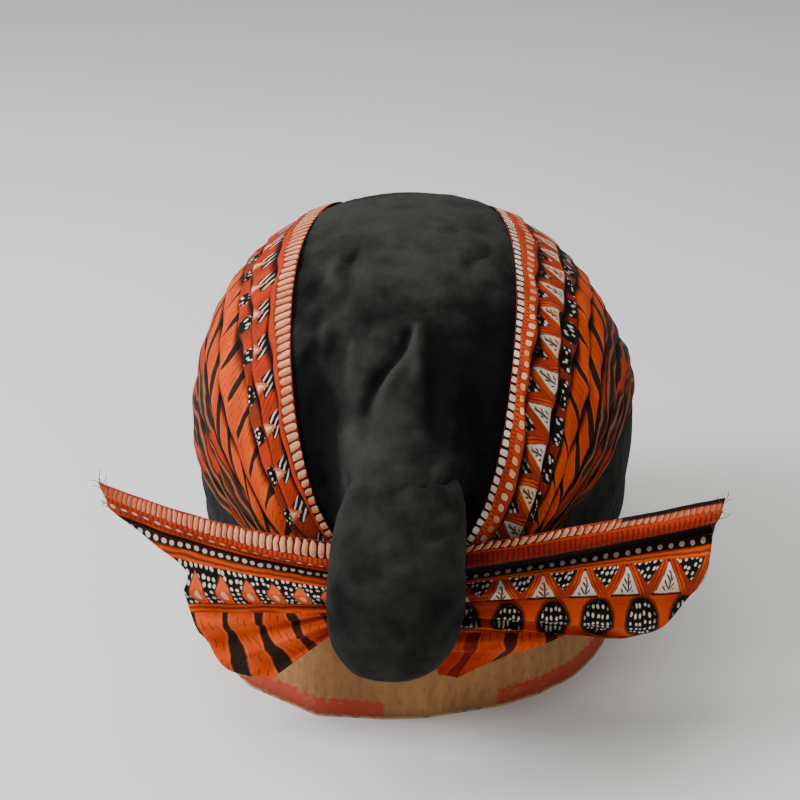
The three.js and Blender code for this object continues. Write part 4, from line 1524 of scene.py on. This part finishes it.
def ring_wall(inset, rows):
    """The ring's surface, inset from its outside, from the foot to the top."""
    squeezed = dome_half(np.array(RIM_HEIGHT), CROWN_WALL + CLOTH_GAP)
    foot = ring_outline(RING_FOOT_HALF, inset)
    neck = ring_outline(squeezed, inset, clamp_reach=True)
    inside_rim = np.linspace(RIM_HEIGHT, RING_HEIGHT, ROWS_INSIDE_RIM + 1)[1:]
    height = np.concatenate([np.linspace(0, RIM_HEIGHT, rows), inside_rim])
    share = np.clip(height / RIM_HEIGHT, 0, 1)[:, None, None]
    flat = foot + (neck - foot) * share
    return np.concatenate([flat, np.broadcast_to(height[:, None, None], flat.shape[:2] + (1,))], -1)


# %% Kraft board finish
FLUTE_PITCH = 7.6
RED_BAND = {"foot": 1.6, "top": 9.0, "tooth": 4.5}
RED_START, RED_END = 46.0, 250.0  # the red shows on the left, and between these runs on the right


def kraft_board(name, printed):
    """Kraft liner: brown paper with long fibres, faint flute lines in relief with painted shade,
    scuffs, and a red printed edge.
    """
    made, tree, place = new_material(name)
    fibres = add(tree, "ShaderNodeMapping", place, sockets={"Scale": (1.0, 1.0, 0.35)})
    paint = dye(linear("#8d6137"), linear("#ab7a4a"), rise(noise_at(tree, place, 30.0, 4.0), 0.5, 0.22))
    paint = dye(paint, linear("#6f4a2b"), rise(noise_at(tree, fibres, 1.8, 3.0), 0.6, 0.12) * 0.5)
    relief = noise_at(tree, place, 2.0, 3.0) * 0.12
    if printed:
        u, v, _ = parts_of(add(tree, "ShaderNodeUVMap", uv_map="print"))
        flutes = within(repeated(u, FLUTE_PITCH), 2.2, 1.6)
        relief = relief + flutes * 0.1
        # Painted shade along the flutes, over their relief.
        paint = dye(paint, linear("#7c5430"), flutes * 0.25)
        teeth = abs(repeated(u, RED_BAND["tooth"])) * 0.5
        worn = noise_at(tree, place, 5.0, 4.0)
        band = between(v + teeth, RED_BAND["foot"], RED_BAND["top"], 0.4)
        left_part = 1 - rise(u, 0.0, 0.5)
        right_part = rise(u, RED_START, 3.0) * (1 - rise(u, RED_END, 3.0))
        shown = band * either(left_part, right_part) * rise(worn, 0.36, 0.08)
        paint = dye(paint, linear("#a3301f"), shown * 0.9)
        torn = (1 - rise(v, 0.9, 0.4)) * rise(worn, 0.42, 0.1)
        paint = dye(paint, linear("#c9a87c"), torn)
    lead_out(tree, paint, relief, 0.7, {"Roughness": 0.78, "Specular IOR Level": 0.35})
    return made


kraft_outside = kraft_board("kraft board, outside", printed=True)
kraft_inside = kraft_board("kraft board, inside", printed=False)


# %% Two liners
LINER_ROWS = 8


def liner(name, inset, finish):
    """A paper liner, whose print counts millimetres round the ring from the seam."""
    outer = ring_wall(inset, LINER_ROWS)
    inner = ring_wall(inset + LINER, LINER_ROWS)
    run = np.linalg.norm(np.roll(outer[0], -1, axis=0) - outer[0], axis=1)
    along = np.concatenate([[0], np.cumsum(run)[:-1]])
    seam = next(i for i, corner in enumerate(RING_CORNERS) if corner[0] == "seam")
    u = np.broadcast_to(along - along[seam * SIDE_STEPS], outer.shape[:2])
    return slab(name, outer, inner, finish, np.stack([u, outer[..., 2]], -1), looped=True)


settle(liner("ring_outer_liner", 0.0, kraft_outside), "cardboard_ring")
settle(liner("ring_inner_liner", RING_WALL - LINER, kraft_inside))


# %% Fluted sheet between the liners
FLUTE_ROWS, FLUTE_STEPS = 3, 10
FLUTE_GAP = 0.1  # mm that the flutes stay clear of both liners together


def flute_tree():
    """Fold a sheet into flutes: each point moves along its normal by a wave of its run."""
    tree, given = new_tree("flutes", Pitch="Float", Depth="Float", Board="Material")
    run = add(tree, "GeometryNodeInputNamedAttribute", "run", data_type="FLOAT")
    wave = sine(run / given["Pitch"] * (2 * math.pi)) * given["Depth"] * 0.5
    normal = add(tree, "GeometryNodeInputNormal")
    offset = add(tree, "ShaderNodeVectorMath", normal, sockets={"Scale": wave}, operation="SCALE")
    moved = add(
        tree, "GeometryNodeSetPosition", sockets={"Geometry": given["Geometry"], "Offset": offset}
    )
    close_tree(tree, moved, given["Board"])
    return tree


def fluted_medium():
    """The middle sheet: a plain band halfway through the wall, folded by the tree."""
    wall = ring_wall(RING_WALL / 2, FLUTE_ROWS)
    closed = np.concatenate([wall, wall[:, :1]], 1)
    run = np.concatenate([[0], np.cumsum(np.linalg.norm(np.diff(closed[0], axis=0), axis=1))])
    flutes = round(run[-1] / FLUTE_PITCH)
    even = np.linspace(0, run[-1], flutes * FLUTE_STEPS + 1)[:-1]
    points = np.array([[np.interp(even, run, axis) for axis in row.T] for row in closed])
    points = points.transpose(0, 2, 1)
    rows, columns = points.shape[:2]
    made = build("ring_fluted_medium", points, ring_faces(rows, columns), kraft_inside)
    values = made.data.attributes.new("run", "FLOAT", "POINT")
    values.data.foreach_set("value", np.tile(even * MM, rows))
    pitch = run[-1] / flutes
    depth = RING_WALL - 2 * LINER - FLUTE_GAP
    run_tree(made, flute_tree(), {"Pitch": pitch * MM, "Depth": depth * MM, "Board": kraft_inside})
    settle(made)
    print("flutes:", flutes, "pitch (mm):", round(pitch, 2))


fluted_medium()

# %% [markdown]
# ## Floor and light
# A plain pale floor, one broad soft light overhead, a nearer window on the left that brightens
# that side of the floor, a weak one from the room, and a pale sky fill. The shadows are soft.

# %% Floor
FLOOR_SIZE = 60.0


def floor_finish():
    made, tree, place = new_material("pale floor")
    paint = dye(linear("#dcdddb"), linear("#e6e7e5"), noise_at(tree, place, 400.0, 2.0))
    surface = add(tree, "ShaderNodeBsdfPrincipled", sockets={"Base Color": paint, "Roughness": 0.9})
    add(tree, "ShaderNodeOutputMaterial", surface)
    return made


floor_mesh = bpy.data.meshes.new("floor")
far = FLOOR_SIZE / 2
corners = [(-far, -far, 0), (far, -far, 0), (far, far, 0), (-far, far, 0)]
floor_mesh.from_pydata(corners, [], [(0, 1, 2, 3)])
floor_mesh.materials.append(floor_finish())
new_object("floor", floor_mesh)


# %% Lights
def soft_light(name, place, size, power, colour):
    data = bpy.data.lights.new(name, "AREA")
    data.shape = "DISK"
    data.size = size
    data.energy = power
    data.color = linear(colour)[:3]
    made = new_object(name, data)
    made.location = target + Vector(place)
    made.rotation_euler = Vector(place).to_track_quat("Z", "Y").to_euler()


for light in (  # name, place from the target in metres, size in metres, watts and colour
    ("overhead", (-0.35, 0.05, 1.5), 1.5, 21, "#fffcf6"),
    ("window", (-0.95, -0.3, 0.8), 0.7, 20, "#f6faff"),
    ("room", (0.9, -1.4, 0.8), 1.4, 5, "#fff6ee"),
):
    soft_light(*light)

SKY_COLOUR, SKY_STRENGTH = linear("#dfe4ea"), 0.38
world = bpy.data.worlds.new("world")
world.use_nodes = True
sky = world.node_tree.nodes["Background"].inputs
sky["Color"].default_value = SKY_COLOUR
sky["Strength"].default_value = SKY_STRENGTH
bpy.context.scene.world = world
